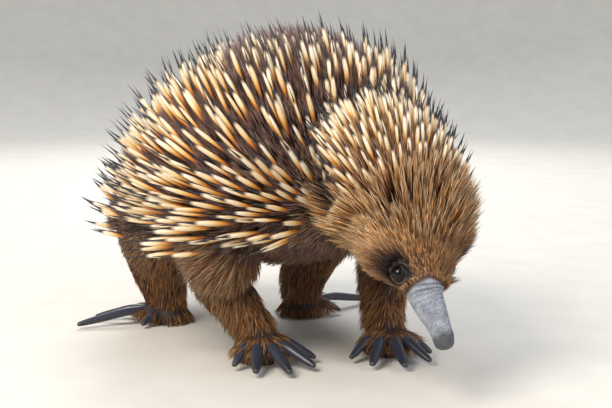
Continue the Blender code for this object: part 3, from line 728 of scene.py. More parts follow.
class SkinSurface:
    """Samples places on the skin, evenly by area, with their normals and their places on its unwrap."""

    def __init__(self, skin):
        mesh = skin.data
        mesh.calc_loop_triangles()
        corners = read_all(mesh.loop_triangles, "vertices", 3, np.int32)
        loops = read_all(mesh.loop_triangles, "loops", 3, np.int32)
        self.points = (read_all(mesh.vertices, "co", 3) - SHIFT)[corners]
        self.normals = read_all(mesh.vertices, "normal", 3)[corners]
        self.uvs = read_all(mesh.uv_layers["OFBake"].data, "uv", 2)[loops]
        edges = self.points[:, 1:] - self.points[:, :1]
        self.areas = 0.5 * np.linalg.norm(np.cross(edges[:, 0], edges[:, 1]), axis=1)

    def sample(self, draw, count, density):
        """Count places, spread evenly by area and by what density gives, with their normals and unwrap."""
        centres = self.points.mean(1)
        weights = self.areas * np.clip(density(centres, unit(self.normals.mean(1))), 0, 1)
        picks = draw.choice(len(weights), size=count, p=weights / weights.sum())
        a, b = draw.random(count), draw.random(count)
        flip = a + b > 1
        a[flip], b[flip] = 1 - a[flip], 1 - b[flip]
        shares = np.stack([1 - a - b, a, b], axis=1)[:, :, None]
        place = (self.points[picks] * shares).sum(1)
        normal = unit((self.normals[picks] * shares).sum(1))
        uv = (self.uvs[picks] * shares).sum(1)
        return place, normal, uv


def tangent(normal, way):
    """The direction on the surface that is nearest to way."""
    way = np.broadcast_to(np.asarray(way, float), normal.shape)
    return unit(way - (way * normal).sum(1, keepdims=True) * normal)


def tufted(draw, place, normal, lie, uv, hairs, spread):
    """Each place becomes a tuft of a few hairs close together, which share its patch on the unwrap."""
    side = np.cross(normal, lie)
    count = len(place)
    along = draw.normal(0, spread, (count, hairs, 1))
    across = draw.normal(0, spread, (count, hairs, 1))
    places = place[:, None] + along * lie[:, None] + across * side[:, None]
    repeated = [np.repeat(part, hairs, axis=0) for part in (normal, lie, uv)]
    converge = -across.reshape(-1) / 0.018
    return places.reshape(-1, 3), *repeated, converge


def region_of(place):
    """Which part of the body each place on the skin belongs to, with its share along that part."""
    gaps = [np.abs(TRUNK.gap(place))]
    shares = [np.zeros(len(place))]
    names = ["trunk"]
    for name, tube in {"head": HEAD, "tail": TAIL, **LEGS}.items():
        share, _, gap = tube.nearest(place)
        names.append(name)
        shares.append(share)
        gaps.append(np.abs(gap))
    best = np.argmin(np.stack(gaps), axis=0)
    return np.array(names)[best], np.stack(shares)[best, np.arange(len(place))]


def trunk_way(place, normal):
    """The lie of the coat on the trunk: to the rear, rising on the flanks and hanging below the skirt."""
    height = place[:, 2]
    rise = 0.30 * smooth_step(0.066, 0.080, height) + 0.20 * smooth_step(0.085, 0.12, height)
    rise = rise + 1.1 * smooth_step(0.11, 0.165, height)
    rise = rise * (1 - 0.5 * np.clip(normal[:, 2], 0, 1) ** 3)
    sag = 0.25 * np.maximum(0, (0.070 - height) / 0.03)
    fan = 0.55 * np.maximum(0, -0.07 - place[:, 0]) / 0.05 * place[:, 1] / 0.08
    return np.column_stack([-np.ones(len(place)), fan, rise - sag])


def trunk_lie(place, normal):
    return tangent(normal, trunk_way(place, normal))


def skirt_height(place):
    """Height of the lowest spines, which rises from the rump to the shoulder and the neck."""
    along = place[:, 0]
    return 0.069 + 0.008 * np.clip((along + 0.11) / 0.10, 0, 1) + 0.029 * smooth_step(0.066, 0.098, along)


def even_directions(count):
    index = np.arange(count)
    along = 1 - 2 * (index + 0.5) / count
    across = np.sqrt(1 - along * along)
    turn = math.pi * (3 - math.sqrt(5)) * index
    return np.column_stack([along, across * np.cos(turn), across * np.sin(turn)])


# Settings that a user may change


class EchidnaCoat(bpy.types.PropertyGroup):
    """How many spines and hairs the coat has, and how long they are."""

    spine_roots: IntProperty(name="Spine roots", description="Places for spines on the trunk", default=1650)
    spine_length: FloatProperty(
        name="Spine length", description="Length of a spine on the flank", default=0.052, unit="LENGTH"
    )
    spine_radius: FloatProperty(
        name="Spine radius", description="Radius of a spine at its stoutest", default=0.00155, unit="LENGTH"
    )
    back_hairs: IntProperty(name="Back hairs", description="Hairs between the spines", default=40000)
    flank_hairs: IntProperty(name="Flank hairs", description="Long hairs on flanks and belly", default=9000)
    head_hairs: IntProperty(name="Head hairs", description="Bristles from nape to brow", default=9500)
    face_hairs: IntProperty(name="Face hairs", description="Short hairs on the face", default=13000)
    leg_hairs: IntProperty(name="Leg hairs", description="Hairs on each leg", default=8000)


class EchidnaStage(bpy.types.PropertyGroup):
    """The floor and the lights of the studio."""

    floor_size: FloatProperty(name="Floor size", description="Width of the floor", default=6.0, unit="LENGTH")
    key_power: FloatProperty(name="Key light", description="Power of the large soft light", default=19.0)
    sky_strength: FloatProperty(name="Sky", description="Strength of the light from all round", default=0.60)
    sky_colour: FloatVectorProperty(
        name="Sky colour", description="Colour of the light from all round", subtype="COLOR",
        default=linear("#E9EEF5")[:3], size=3,
    )


def coat_settings():
    return bpy.context.scene.echidna_coat


def finished(piece, slot, material, *nodes):
    """Gives a piece its material, lets it ride, and hides the nodes it stands for; the slot is not used."""
    piece.data.materials.clear()
    piece.data.materials.append(material)
    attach(piece, BODY)
    if nodes:
        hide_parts(*nodes)


def shared_material(make):
    """A material that several pieces share, made the first time it is asked for."""
    return bpy.data.materials.get(make.__name__) or make()


def boolean(target, operation, other):
    """Joins or cuts target with another closed object, and removes that one."""
    modifier = target.modifiers.new("joined", "BOOLEAN")
    modifier.operation = operation
    modifier.solver = "MANIFOLD"
    modifier.object = other
    apply_modifiers(target)
    bpy.data.objects.remove(other)


def apply_modifiers(target):
    bpy.context.view_layer.update()
    graph = bpy.context.evaluated_depsgraph_get()
    made = bpy.data.meshes.new_from_object(target.evaluated_get(graph))
    target.modifiers.clear()
    target.data = made


def body_form():
    """Trunk, tail, legs, feet and toes melted into one smooth body."""
    shell = bmesh.new()
    bmesh.ops.create_icosphere(shell, subdivisions=5, radius=1.0)
    directions = unit([v.co for v in shell.verts])
    for vertex, place in zip(shell.verts, TRUNK.points(directions) + SHIFT):
        vertex.co = place
    for kind, side in FOOT_X:
        centre = foot_centre(kind, side)
        half = np.array(FOOT_HALF[kind]) - 1.0 * MM
        lumps = [(centre + [0, 0, 0.5 * half[2]], half)]
        for angle, _, width, _ in CLAWS[kind]:
            way = claw_way(kind, side, angle)
            raised = CLAW_TOP[kind] - TOE_CLAW_TOP
            for reach, low, lift, size in TOE_LUMPS:
                spot = centre + way * half[0] * reach + [0, 0, low + lift * raised]
                lumps.append((spot, np.array([1.25, 1.25, 1.1]) * size * width))
        for spot, radii in lumps:
            matrix = Matrix.Translation(Vector(spot + SHIFT)) @ Matrix.Diagonal((*radii, 1))
            bmesh.ops.create_icosphere(shell, subdivisions=3, radius=1.0, matrix=matrix)
    mesh = bpy.data.meshes.new("body_form")
    shell.to_mesh(mesh)
    shell.free()
    body = placed("body_form", mesh)
    shares = np.linspace(0, 1, 40)
    tubes = [loft(name, tube.grid(40, shares)) for name, tube in {"tail": TAIL, **LEGS}.items()]
    joined = bmesh.new()
    for piece in [body, *tubes]:
        joined.from_mesh(piece.data)
    joined.to_mesh(body.data)
    joined.free()
    for piece in tubes:
        bpy.data.objects.remove(piece)
    remesh = body.modifiers.new("melted", "REMESH")
    remesh.mode = "VOXEL"
    remesh.voxel_size = SKIN_VOXEL
    soften = body.modifiers.new("softened", "SMOOTH")
    soften.factor = 0.5
    soften.iterations = 4
    apply_modifiers(body)
    for vertex in body.data.vertices:
        vertex.co.z = max(vertex.co.z, 0.0)
    return body


def head_form():
    """The head and beak, with sockets, lids, creases, nostrils and the line of the mouth."""
    shares = np.concatenate(
        [np.linspace(0, 0.36, 50), np.linspace(0.363, 0.52, 84), np.linspace(0.5215, 0.68, 106),
         np.linspace(0.684, 1, 80)]
    )
    rows = HEAD.grid(144, shares, reach=0.8)
    points = np.vstack(rows)
    share, angle, _ = HEAD.nearest(points, 241)
    centre = HEAD.frames(share)[0]
    outward = unit(points - centre)
    for side in EYE_PLAN:
        points = press_eye(points, side)
    run = axis_millimetres(share)
    top = np.clip(-np.sin(angle), 0, 1)
    points = points - (0.6 * MM * beak_creases(run, angle))[:, None] * outward
    tip = run.max()
    ridge = np.exp(-(((run - (tip - 3.4)) / 1.7) ** 2)) * top**2
    points = points + (0.45 * MM * ridge)[:, None] * outward
    for sign in (-1, 1):
        spot = HEAD.points(np.array([share_at(tip - 3.0)]), np.array([math.radians(270 + sign * 27)]))[0]
        pit = np.exp(-(((points - spot) ** 2).sum(1)) / (0.95 * MM) ** 2)
        points = points - (1.3 * MM * pit)[:, None] * outward
    under = np.abs(np.sin(angle) - 0.30)
    mouth = np.exp(-((under / 0.07) ** 2)) * smooth_step(tip - 13.0, tip - 10.0, run)
    points = points - (0.55 * MM * mouth)[:, None] * outward
    starts = np.cumsum([0] + [len(row) for row in rows])
    return loft("head_form", [points[a:b] for a, b in zip(starts, starts[1:])])


def beak_creases(run, angle):
    """How deep the cross creases of the beak are, from 0 to 1: deepest on top of its base."""
    top = np.clip(-np.sin(angle), 0, 1)
    shift = 0.45 * np.sin(3 * angle + 1.0) + 1.6 * (1 - top)
    depth = np.zeros(len(run))
    for place, most in BEAK_FOLDS:
        depth = np.maximum(depth, most * np.exp(-(((run - place - shift) / 0.42) ** 2)))
    return depth * (0.35 + 0.65 * top)


def axis_millimetres(share):
    """Distance along the beak from the hairline, in millimetres."""
    steps = np.linspace(0, 1, 401)
    centres = HEAD.frames(steps)[0]
    lengths = np.concatenate([[0], np.cumsum(np.linalg.norm(np.diff(centres, axis=0), axis=1))]) / MM
    return np.interp(share, steps, lengths) - np.interp(HAIRLINE, steps, lengths)


def share_at(run):
    """The share along the head that lies run millimetres beyond the hairline."""
    steps = np.linspace(0, 1, 401)
    return float(np.interp(run, axis_millimetres(steps), steps))


def press_eye(points, side):
    """Sinks a socket round the eyeball and raises the two lids as a rim with a corner at each end."""
    centre = np.array(EYE_PLAN[side])
    outward = eye_outward(side)
    beakward = unit(np.array([0.5, 0, -0.86]) - outward * (outward @ np.array([0.5, 0, -0.86])))
    upward = np.cross(outward, beakward) * (1 if side == "right" else -1)
    offset = points - centre
    run, rise, out = offset @ beakward, offset @ upward, offset @ outward
    near = out > -6 * MM
    reach = np.hypot(run / 1.18, rise) / MM
    girth = np.hypot(run, rise) / MM
    ball = np.sqrt(np.maximum(0, (EYE_RADIUS / MM) ** 2 - girth**2))
    lid = np.sqrt(np.maximum(0, (EYE_RADIUS / MM + 0.45) ** 2 - girth**2))
    lid = lid + 0.30 * np.exp(-(((reach - 4.15) / 0.35) ** 2))
    fold = 0.35 * np.exp(-(((reach - 5.9) / 0.6) ** 2)) * smooth_step(-1.0, 1.5, rise / MM)
    skin = out / MM
    blend = 1 - smooth_step(4.6, 9.5, reach)
    wanted = skin * (1 - blend) + np.maximum(skin, lid) * blend - fold
    wanted = np.where(reach < EYE_OPENING / MM, ball - 1.6, wanted)
    change = np.where(near & (reach < 10), wanted * MM - out, 0)
    return points + change[:, None] * outward


def make_ear_fold(side):
    """The rim of the ear: a low crescent behind the slit."""
    angle = math.radians(EAR_ANGLE if side == "right" else 180 - EAR_ANGLE)
    spot = HEAD.points(np.array([EAR_PLACE]), np.array([angle]))[0]
    normal = HEAD.normals(np.array([EAR_PLACE]), np.array([angle]))[0]
    up = tangent(normal[None], (0.35, 0, 0.93))[0]
    back = tangent(normal[None], (-1, 0, 0.2))[0]
    rows = []
    for turn in np.linspace(-1.25, 1.25, 15):
        middle = spot + 8.5 * MM * math.sin(turn) * up + 3.5 * MM * math.cos(turn) * back
        ahead = unit(8.5 * math.cos(turn) * up - 3.5 * math.sin(turn) * back)
        across = np.cross(ahead, normal)
        thick = math.cos(turn) ** 0.5
        rows.append(
            np.array(
                [
                    middle + 1.3 * MM * thick * math.cos(a) * across + 4.2 * MM * thick * math.sin(a) * normal
                    for a in np.linspace(0, 2 * math.pi, 12, endpoint=False)
                ]
            )
        )
    ends = [np.array([row.mean(0)]) for row in (rows[0], rows[-1])]
    return loft(f"ear_fold_{side}", [ends[0], *rows, ends[1]])


def paint_masks(skin):
    """Writes where the beak, the wet tip, the dark eye skin, the lower lid rims with their painted highlight,
    the toes and the painted shade of the beak's creases are.
    """
    mesh = skin.data
    points = read_all(mesh.vertices, "co", 3) - SHIFT
    share, angle, gap = HEAD.nearest(points, 241)
    on_head = (gap < 4 * MM) & (points[:, 0] > 0.1)
    run = axis_millimetres(share)
    beak = smooth_step(-1.2, 0.8, run - axis_millimetres(hairline(angle)[0])) * on_head
    tip = run.max()
    dark = smooth_step(tip - 9.0, tip - 1.0, run) * 0.75 * on_head
    rim = np.zeros(len(points))
    for side, place in EYE_PLAN.items():
        away = np.linalg.norm(points - np.array(place), axis=1) / MM
        dark = np.maximum(dark, (1 - smooth_step(6.5, 10.5, away)) * (1 - 0.8 * beak))
        # painted highlight along the rim of each lower lid, below the eye only
        lower = smooth_step(0, -2.5 * MM, points[:, 2] - place[2])
        rim = np.maximum(rim, np.exp(-(((away - 5.3) / 0.5) ** 2)) * lower * 0.6)
    toe = (points[:, 2] < 0.022) & (np.abs(points[:, 1]) > 0.015) & ~on_head
    # painted shade in the beak's cross creases, deepest on top of its base
    crease_shade = 0.8 * beak_creases(run, angle) * beak
    masks = {"beak": beak, "dark": dark, "rim": rim, "toe": toe.astype(float), "crease_shade": crease_shade}
    for key, values in masks.items():
        write_float(mesh, key, values)


class MESH_OT_echidna_skin(bpy.types.Operator):
    """One skin for the whole animal, in place of its nodes of flesh"""

    bl_idname = "mesh.echidna_skin"
    bl_label = "Skin"

    def execute(self, context):
        skin = body_form()
        boolean(skin, "UNION", head_form())
        for side in EYE_PLAN:
            boolean(skin, "UNION", make_ear_fold(side))
        skin.name = skin.data.name = "skin"
        skin.data.shade_smooth()
        bpy.ops.object.select_all(action="DESELECT")
        context.view_layer.objects.active = skin
        skin.select_set(True)
        for layer in list(skin.data.uv_layers):
            skin.data.uv_layers.remove(layer)
        skin.data.uv_layers.new(name="OFBake")
        bpy.ops.object.mode_set(mode="EDIT")
        bpy.ops.mesh.select_all(action="SELECT")
        bpy.ops.uv.smart_project(angle_limit=math.radians(66), island_margin=0.002)
        bpy.ops.object.mode_set(mode="OBJECT")
        paint_masks(skin)
        nodes = ["torso", "head", "beak", "tail", "ear_right", "ear_left"]
        for kind, side in FOOT_X:
            foot = "forefoot" if kind == "foreleg" else "hindfoot"
            nodes += [f"{kind}_{side}", f"{foot}_{side}"]
        finished(skin, "bare_skin", shared_material(leathery_skin), *nodes)
        return {"FINISHED"}


class MESH_OT_echidna_eyes(bpy.types.Operator):
    """Both eyes, each a smooth ball with a slightly raised cornea"""

    bl_idname = "mesh.echidna_eyes"
    bl_label = "Eyes"

    def execute(self, context):
        for side, place in EYE_PLAN.items():
            outward = eye_outward(side)
            across = unit(np.cross(outward, (0, 0, 1)))
            up = np.cross(across, outward)
            rows = []
            for turn in np.linspace(0, math.pi, 33):
                bulge = 1 + 0.06 * math.exp(-((turn / 0.55) ** 2))
                ring = EYE_RADIUS * bulge
                angles = [0.0] if turn in (0.0, math.pi) else np.linspace(0, 2 * math.pi, 48, endpoint=False)
                rows.append(
                    np.array(
                        [
                            np.array(place)
                            + ring * math.cos(turn) * outward
                            + ring * math.sin(turn) * (math.cos(a) * across + math.sin(a) * up)
                            for a in angles
                        ]
                    )
                )
            eye = loft(f"eyeball_{side}", rows)
            share = [k / (len(rows) - 1) for k, row in enumerate(rows) for _ in row]
            write_float(eye.data, "along", 2 * np.array(share))
            finished(eye, "eye", shared_material(wet_eye), f"eye_{side}")
        return {"FINISHED"}


class MESH_OT_echidna_claws(bpy.types.Operator):
    """The digging claws of all four feet"""

    bl_idname = "mesh.echidna_claws"
    bl_label = "Claws"

    def execute(self, context):
        for kind, side in FOOT_X:
            foot = "forefoot" if kind == "foreleg" else "hindfoot"
            for number, claw in enumerate(CLAWS[kind], 1):
                piece = make_claw(f"horn_{foot}_{side}_{number}", kind, side, claw)
                finished(piece, "claw_horn", shared_material(worn_claw_horn), f"claw_{foot}_{side}_{number}")
        return {"FINISHED"}


def make_claw(name, kind, side, claw):
    """One claw: rounded above, flat below, drawn out to a blunt worn point."""
    angle, length, half_width, half_height = claw
    way = claw_way(kind, side, angle)
    start = foot_centre(kind, side) + FOOT_HALF[kind][0] * 0.55 * way
    stations = []
    for along, height, share in CLAW_SHAPE:
        spot = start + way * length * along + np.array([0, 0, CLAW_TOP[kind] * height])
        stations.append((tuple(spot), share * half_width, share * half_height))
    tube = Tube(stations)
    sides, rings = 20, 26
    rows = []
    for row in tube.grid(sides, np.linspace(0, 1, rings), reach=0.9):
        middle = row.mean(0)
        flat = np.where(row[:, 2] < middle[2], 0.7, 1.05) if len(row) > 1 else 1.0
        row = row.copy()
        row[:, 2] = middle[2] + (row[:, 2] - middle[2]) * flat
        rows.append(row)
    piece = loft(name, rows)
    shares = np.concatenate([np.full(len(row), k / (len(rows) - 1)) for k, row in enumerate(rows)])
    write_float(piece.data, "along", shares)
    return piece


class MESH_OT_echidna_spines(bpy.types.Operator):
    """The spines of the back, flanks and nape"""

    bl_idname = "mesh.echidna_spines"
    bl_label = "Spines"

    def execute(self, context):
        coat = coat_settings()
        draw = np.random.default_rng(SEED)
        directions = even_directions(coat.spine_roots)
        directions = unit(directions + draw.uniform(-0.026, 0.026, directions.shape))
        root, normal = TRUNK.points(directions), TRUNK.normals(directions)
        top = np.clip(normal[:, 2], 0, 1) ** 3 * (1 - smooth_step(0.03, 0.075, root[:, 0]))
        rump = smooth_step(-0.05, -0.10, root[:, 0])
        chance = 0.80 - 0.36 * top + 0.12 * rump
        keep = (root[:, 2] > skirt_height(root)) & (draw.random(len(root)) < chance)
        keep &= HEAD.nearest(root)[2] > -2 * MM
        root, normal, top, rump = root[keep], normal[keep], top[keep], rump[keep]
        for leg in LEGS.values():
            for _ in range(3):
                under = np.clip(-leg.nearest(root)[2], 0, 6 * MM)
                root = root + under[:, None] * normal
        crest = smooth_step(0.040, 0.085, root[:, 0])
        count = len(root)
        slim = (draw.random(count) < 0.22).astype(float)
        shorter = 0.18 * crest + 0.26 * top + 0.12 * rump
        length = coat.spine_length * (1 - shorter) * draw.uniform(0.84, 1.06, count)
        radius = coat.spine_radius * (1 - 0.35 * slim - 0.28 * top) * draw.uniform(0.85, 1.12, count)
        lean = np.radians(27 + 3 * crest + draw.uniform(-5, 5, count))[:, None]
        raised = np.maximum(0, 0.2 - normal[:, 2:]) * 0.9 * np.array([0, 0, 1.0])
        wanted = np.cos(lean) * unit(trunk_way(root, normal)) + np.sin(lean) * unit(normal + raised)
        lie = tangent(normal, wanted)
        lean = np.arcsin(np.clip((unit(wanted) * normal).sum(1), *LEAN_SINES))
        strands = Strands(root, normal, lie, self._uv(directions[keep]))
        strands.grow(
            length, radius, lean, lean - 0.08, draw.normal(0, 0.10, count), QUILL_PROFILE, 6, 2 * MM
        )
        shade = draw.uniform(0.35, 1.0, count)
        spines = strands.mesh("spines", {"shade": shade})
        finished(spines, "spines", shared_material(quill_keratin))
        self._nape(draw)
        return {"FINISHED"}

    def _uv(self, directions):
        """The trunk's own unwrap for the quills, from longitude and latitude."""
        longitude = np.arctan2(directions[:, 1], directions[:, 2]) / (2 * math.pi) + 0.5
        latitude = 0.5 + 0.5 * directions[:, 0]
        return np.column_stack([0.01 + 0.97 * longitude, 0.01 + 0.97 * latitude])

    def _nape(self, draw):
        """Bright spines that stand up over the nape and crown, slimmer toward the brow."""
        index = np.arange(NAPE_QUILLS)
        share = 0.01 + 0.30 * (index + draw.random(NAPE_QUILLS)) / NAPE_QUILLS
        across = 148 * ((index * GOLDEN_SHARE) % 1)
        angle = np.radians(196 + across + draw.uniform(-2, 2, NAPE_QUILLS))
        root, normal = HEAD.points(share, angle), HEAD.normals(share, angle)
        keep = TRUNK.gap(root) > -2 * MM
        root, normal, share, angle = root[keep], normal[keep], share[keep], angle[keep]
        lie = tangent(normal, unit(root - BEAK_BASE) + np.array([-0.45, 0, 0.10]))
        count = len(root)
        brow = smooth_step(0.12, 0.31, share)
        back = 1 - smooth_step(0.05, 0.15, share)
        length = (48 - 12 * brow - 8 * back) * MM * draw.uniform(0.84, 1.06, count)
        radius = (1.60 - 0.45 * brow) * MM * draw.uniform(0.8, 1.15, count)
        lean = np.radians(30 - 2 * brow - 8 * back + draw.uniform(-5, 5, count))
        uv = np.column_stack([0.01 + 0.97 * angle / (2 * math.pi), 0.01 + 0.97 * share])
        strands = Strands(root, normal, lie, uv)
        strands.grow(length, radius, lean, lean, draw.normal(0, 0.10, count), QUILL_PROFILE, 5, 2 * MM)
        nape = strands.mesh("nape_spines", {"shade": draw.uniform(0.45, 1.0, count)})
        finished(nape, "spines", shared_material(quill_keratin))


def fur_piece(name, draw, surface, count, hairs, spread, density, style, profile):
    """One piece of fur. style gives lie, length, radius, leans and colours for places on the skin."""
    place, normal, uv = surface.sample(draw, count // hairs, density)
    lie = style["lie"](place, normal)
    place, normal, lie, uv, converge = tufted(draw, place, normal, lie, uv, hairs, spread)
    values = style["values"](place, normal, lie, draw)
    strands = Strands(place, normal, lie, uv)
    stray = draw.normal(0, values.get("stray", STRAY), len(place))
    turn = converge * CLUMP * values["length"] / (20 * MM) + stray
    leans = values["lean"], values["end_lean"]
    strands.grow(values["length"], values["radius"], *leans, turn, profile, HAIR_SIDES, HAIR_SUNK)
    colours = {key: values[key] for key in ("tone", "shade", "pale")}
    piece = strands.mesh(name, colours)
    finished(piece, "hair", shared_material(guard_hair))
    return piece


class MESH_OT_echidna_back_fur(bpy.types.Operator):
    """Dense dark fur between the spines"""

    bl_idname = "mesh.echidna_back_fur"
    bl_label = "Back fur"

    def execute(self, context):
        surface = SkinSurface(bpy.data.objects["skin"])

        def values(place, normal, lie, draw):
            count = len(place)
            top = np.clip(normal[:, 2], 0, 1) ** 2
            fuzz = fuzz_share(place)
            return {
                "length": (14 + 14 * top + 6 * fuzz) * MM * draw.uniform(0.72, 1.08, count),
                "radius": (0.27 - 0.06 * fuzz) * MM * draw.uniform(0.7, 1.2, count),
                "lean": np.radians(44 + 14 * top + draw.uniform(-9, 9, count)),
                "end_lean": np.radians(26 + 22 * top + draw.uniform(-9, 9, count)),
                "tone": 0.06 + 0.22 * draw.random(count) ** 2,
                "shade": draw.uniform(0.25, 1.0, count),
                "pale": np.maximum((draw.random(count) < 0.02) * 0.5, 0.75 * fuzz * draw.random(count)),
            }

        style = {"lie": trunk_lie, "values": values}
        for order, (sign, end, name) in enumerate(
            ((-1, -1, "right_rear"), (-1, 1, "right_front"), (1, -1, "left_rear"), (1, 1, "left_front"))
        ):
            draw = np.random.default_rng(SEED + 20 + order)

            def density(place, normal, sign=sign, end=end):
                region, _ = region_of(place)
                quarter = (sign * place[:, 1] >= 0) & (end * (place[:, 0] - TORSO_MIDDLE_X) >= 0)
                return (region != "head") * quarter * (place[:, 2] > skirt_height(place) - 0.004)

            count = coat_settings().back_hairs // 4
            fur_piece(f"back_fur_{name}", draw, surface, count, 6, 1.5 * MM, density, style, SHORT_PROFILE)
        return {"FINISHED"}


class MESH_OT_echidna_flank_fur(bpy.types.Operator):
    """Long hair with pale streaks below the spines, on the chest and under the belly"""

    bl_idname = "mesh.echidna_flank_fur"
    bl_label = "Flank and belly hair"

    def execute(self, context):
        surface = SkinSurface(bpy.data.objects["skin"])
        draw = np.random.default_rng(SEED + 30)

        def density(place, normal):
            region, _ = region_of(place)
            below = place[:, 2] < skirt_height(place) + 0.004
            body = (region == "trunk") | (region == "tail")
            return (body & below) * np.where(normal[:, 2] < -0.8, 0.45, 1.0)

        def values(place, normal, lie, draw):
            count = len(place)
            belly = smooth_step(-0.5, -0.95, normal[:, 2])
            high = smooth_step(0.052, 0.072, place[:, 2])
            return {
                "length": (33 - 12 * belly - 13 * high) * MM * draw.uniform(0.75, 1.15, count),
                "radius": 0.30 * MM * draw.uniform(0.7, 1.2, count),
                "lean": np.radians(26 + draw.uniform(-8, 8, count)),
                "end_lean": np.radians(4 + draw.uniform(-10, 6, count)),
                "tone": 0.20 + 0.4 * draw.random(count),
                "shade": draw.uniform(0.15, 1.0, count),
                "pale": (draw.random(count) < 0.24) * draw.uniform(0.5, 1.0, count),
            }

        style = {"lie": trunk_lie, "values": values}
        count = coat_settings().flank_hairs
        fur_piece("flank_fur", draw, surface, count, 6, 1.7 * MM, density, style, LONG_PROFILE)
        return {"FINISHED"}


def head_lie(place, normal):
    """Hair on the head radiates away from the beak, and up round the eyes."""
    return tangent(normal, unit(place - BEAK_BASE) + np.array([-0.10, 0, 0.10]))


def nearest_gap(place, spots):
    """Distance from the nearest of some spots."""
    return np.min([np.linalg.norm(place - np.array(spot), axis=1) for spot in spots], axis=0)


def eye_gap(place):
    return nearest_gap(place, EYE_PLAN.values())


def ear_places():
    return HEAD.points(np.full(2, EAR_PLACE), np.radians([EAR_ANGLE, 180 - EAR_ANGLE]))


def cut_short(place, lie, length, spots, half_width, margin):
    """Shortens the hairs that would grow across a spot, such as an eye."""
    for spot in spots:
        offset = spot - place
        ahead = (offset * lie).sum(1)
        aside = np.linalg.norm(offset - ahead[:, None] * lie, axis=1)
        room = np.maximum(ahead - margin, 2.5 * MM)
        across = (ahead > -margin) & (aside < half_width)
        length = np.where(across, np.minimum(length, room), length)
    return length


def crown_share(place):
    """How much of the crown each place has: there short dark fur stands between bright spines."""
    share, angle, _ = HEAD.nearest(place)
    return smooth_step(-0.05, 0.35, -np.sin(angle)) * (1 - smooth_step(0.27, 0.33, share))


def fuzz_share(place):
    """How much of the pale fuzz behind the ears each place has."""
    return np.exp(-((nearest_gap(place, FUZZ_PLAN) / FUZZ_REACH) ** 2))


class MESH_OT_echidna_head_fur(bpy.types.Operator):
    """Golden bristles from the nape to the brow, and short hair on the face"""

    bl_idname = "mesh.echidna_head_fur"
    bl_label = "Head and face hair"

    def execute(self, context):
        surface = SkinSurface(bpy.data.objects["skin"])

        def head_values(place, normal, lie, draw):
            count = len(place)
            share = HEAD.nearest(place)[0]
            near_face = smooth_step(0.28, 0.50, share)
            ear = 1 - smooth_step(5 * MM, 11 * MM, nearest_gap(place, ear_places()))
            crown = crown_share(place)
            fuzz = fuzz_share(place) * (1 - ear)
            length = (26 - 12 * near_face - 12 * ear - 8 * crown) * MM * draw.uniform(0.75, 1.12, count)
            pale = (draw.random(count) < 0.30) * draw.uniform(0.3, 0.8, count) * (1 - ear) * (1 - crown)
            return {
                "length": cut_short(place, lie, length, ear_places(), 8 * MM, 5 * MM),
                "radius": (0.37 - 0.09 * near_face - 0.14 * fuzz) * MM * draw.uniform(0.7, 1.2, count),
                "lean": np.radians(46 - 6 * near_face + draw.uniform(-8, 8, count)),
                "end_lean": np.radians(34 - 8 * near_face + draw.uniform(-8, 8, count)),
                "tone": np.clip(0.72 + 0.28 * draw.random(count) - ear - 0.25 * crown - 0.8 * fuzz, 0, 1),
                "shade": np.clip(draw.uniform(0.20, 1.15, count) + 0.5 * fuzz - 0.8 * ear, 0, 1),
                "pale": np.maximum(pale, 0.75 * fuzz * draw.random(count)),
                "stray": 0.10,
            }

        def head_density(place, normal):
            region, share = region_of(place)
            return (region == "head") * (share > 0.02) * (share < 0.45) * (eye_gap(place) > 8 * MM)

        def face_values(place, normal, lie, draw):
            count = len(place)
            share, angle, _ = HEAD.nearest(place, 121)
            edge, away = hairline(angle)
            close = smooth_step(edge - 0.13, edge, share)
            side = smooth_step(0.6, 1.3, away)
            eye = 1 - smooth_step(5.5 * MM, 9.5 * MM, eye_gap(place))
            length = (12 + 5 * side - (8.5 + 3 * side) * close) * MM * draw.uniform(0.75, 1.15, count)
            return {
                "length": cut_short(place, lie, length, np.array(list(EYE_PLAN.values())), 6 * MM, 4.6 * MM),
                "radius": (0.25 - 0.07 * close) * MM * draw.uniform(0.7, 1.2, count),
                "lean": np.radians(32 + 17 * side * (1 - close) + draw.uniform(-8, 8, count)),
                "end_lean": np.radians(16 + 16 * side * (1 - close) + draw.uniform(-8, 8, count)),
                "tone": np.clip(0.70 + 0.28 * draw.random(count) - 0.7 * eye, 0, 1),
                "shade": np.clip(draw.uniform(0.25, 1.15, count) - 0.5 * eye, 0, 1),
                "pale": (draw.random(count) < 0.18) * 0.6 * (1 - eye),
                "stray": 0.10,
            }

        def face_density(place, normal):
            region, _ = region_of(place)
            share, angle, _ = HEAD.nearest(place, 121)
            bare = share > hairline(angle)[0] - 0.003
            return (region == "head") * (share > 0.36) * ~bare * (eye_gap(place) > 5.6 * MM)

        draw = np.random.default_rng(SEED + 40)
        coat = coat_settings()
        style = {"lie": head_lie, "values": head_values}
        fur_piece("head_fur", draw, surface, coat.head_hairs, 5, 1.2 * MM, head_density, style, LONG_PROFILE)
        style = {"lie": head_lie, "values": face_values}
        fur_piece("face_fur", draw, surface, coat.face_hairs, 4, 0.7 * MM, face_density, style, SHORT_PROFILE)
        return {"FINISHED"}


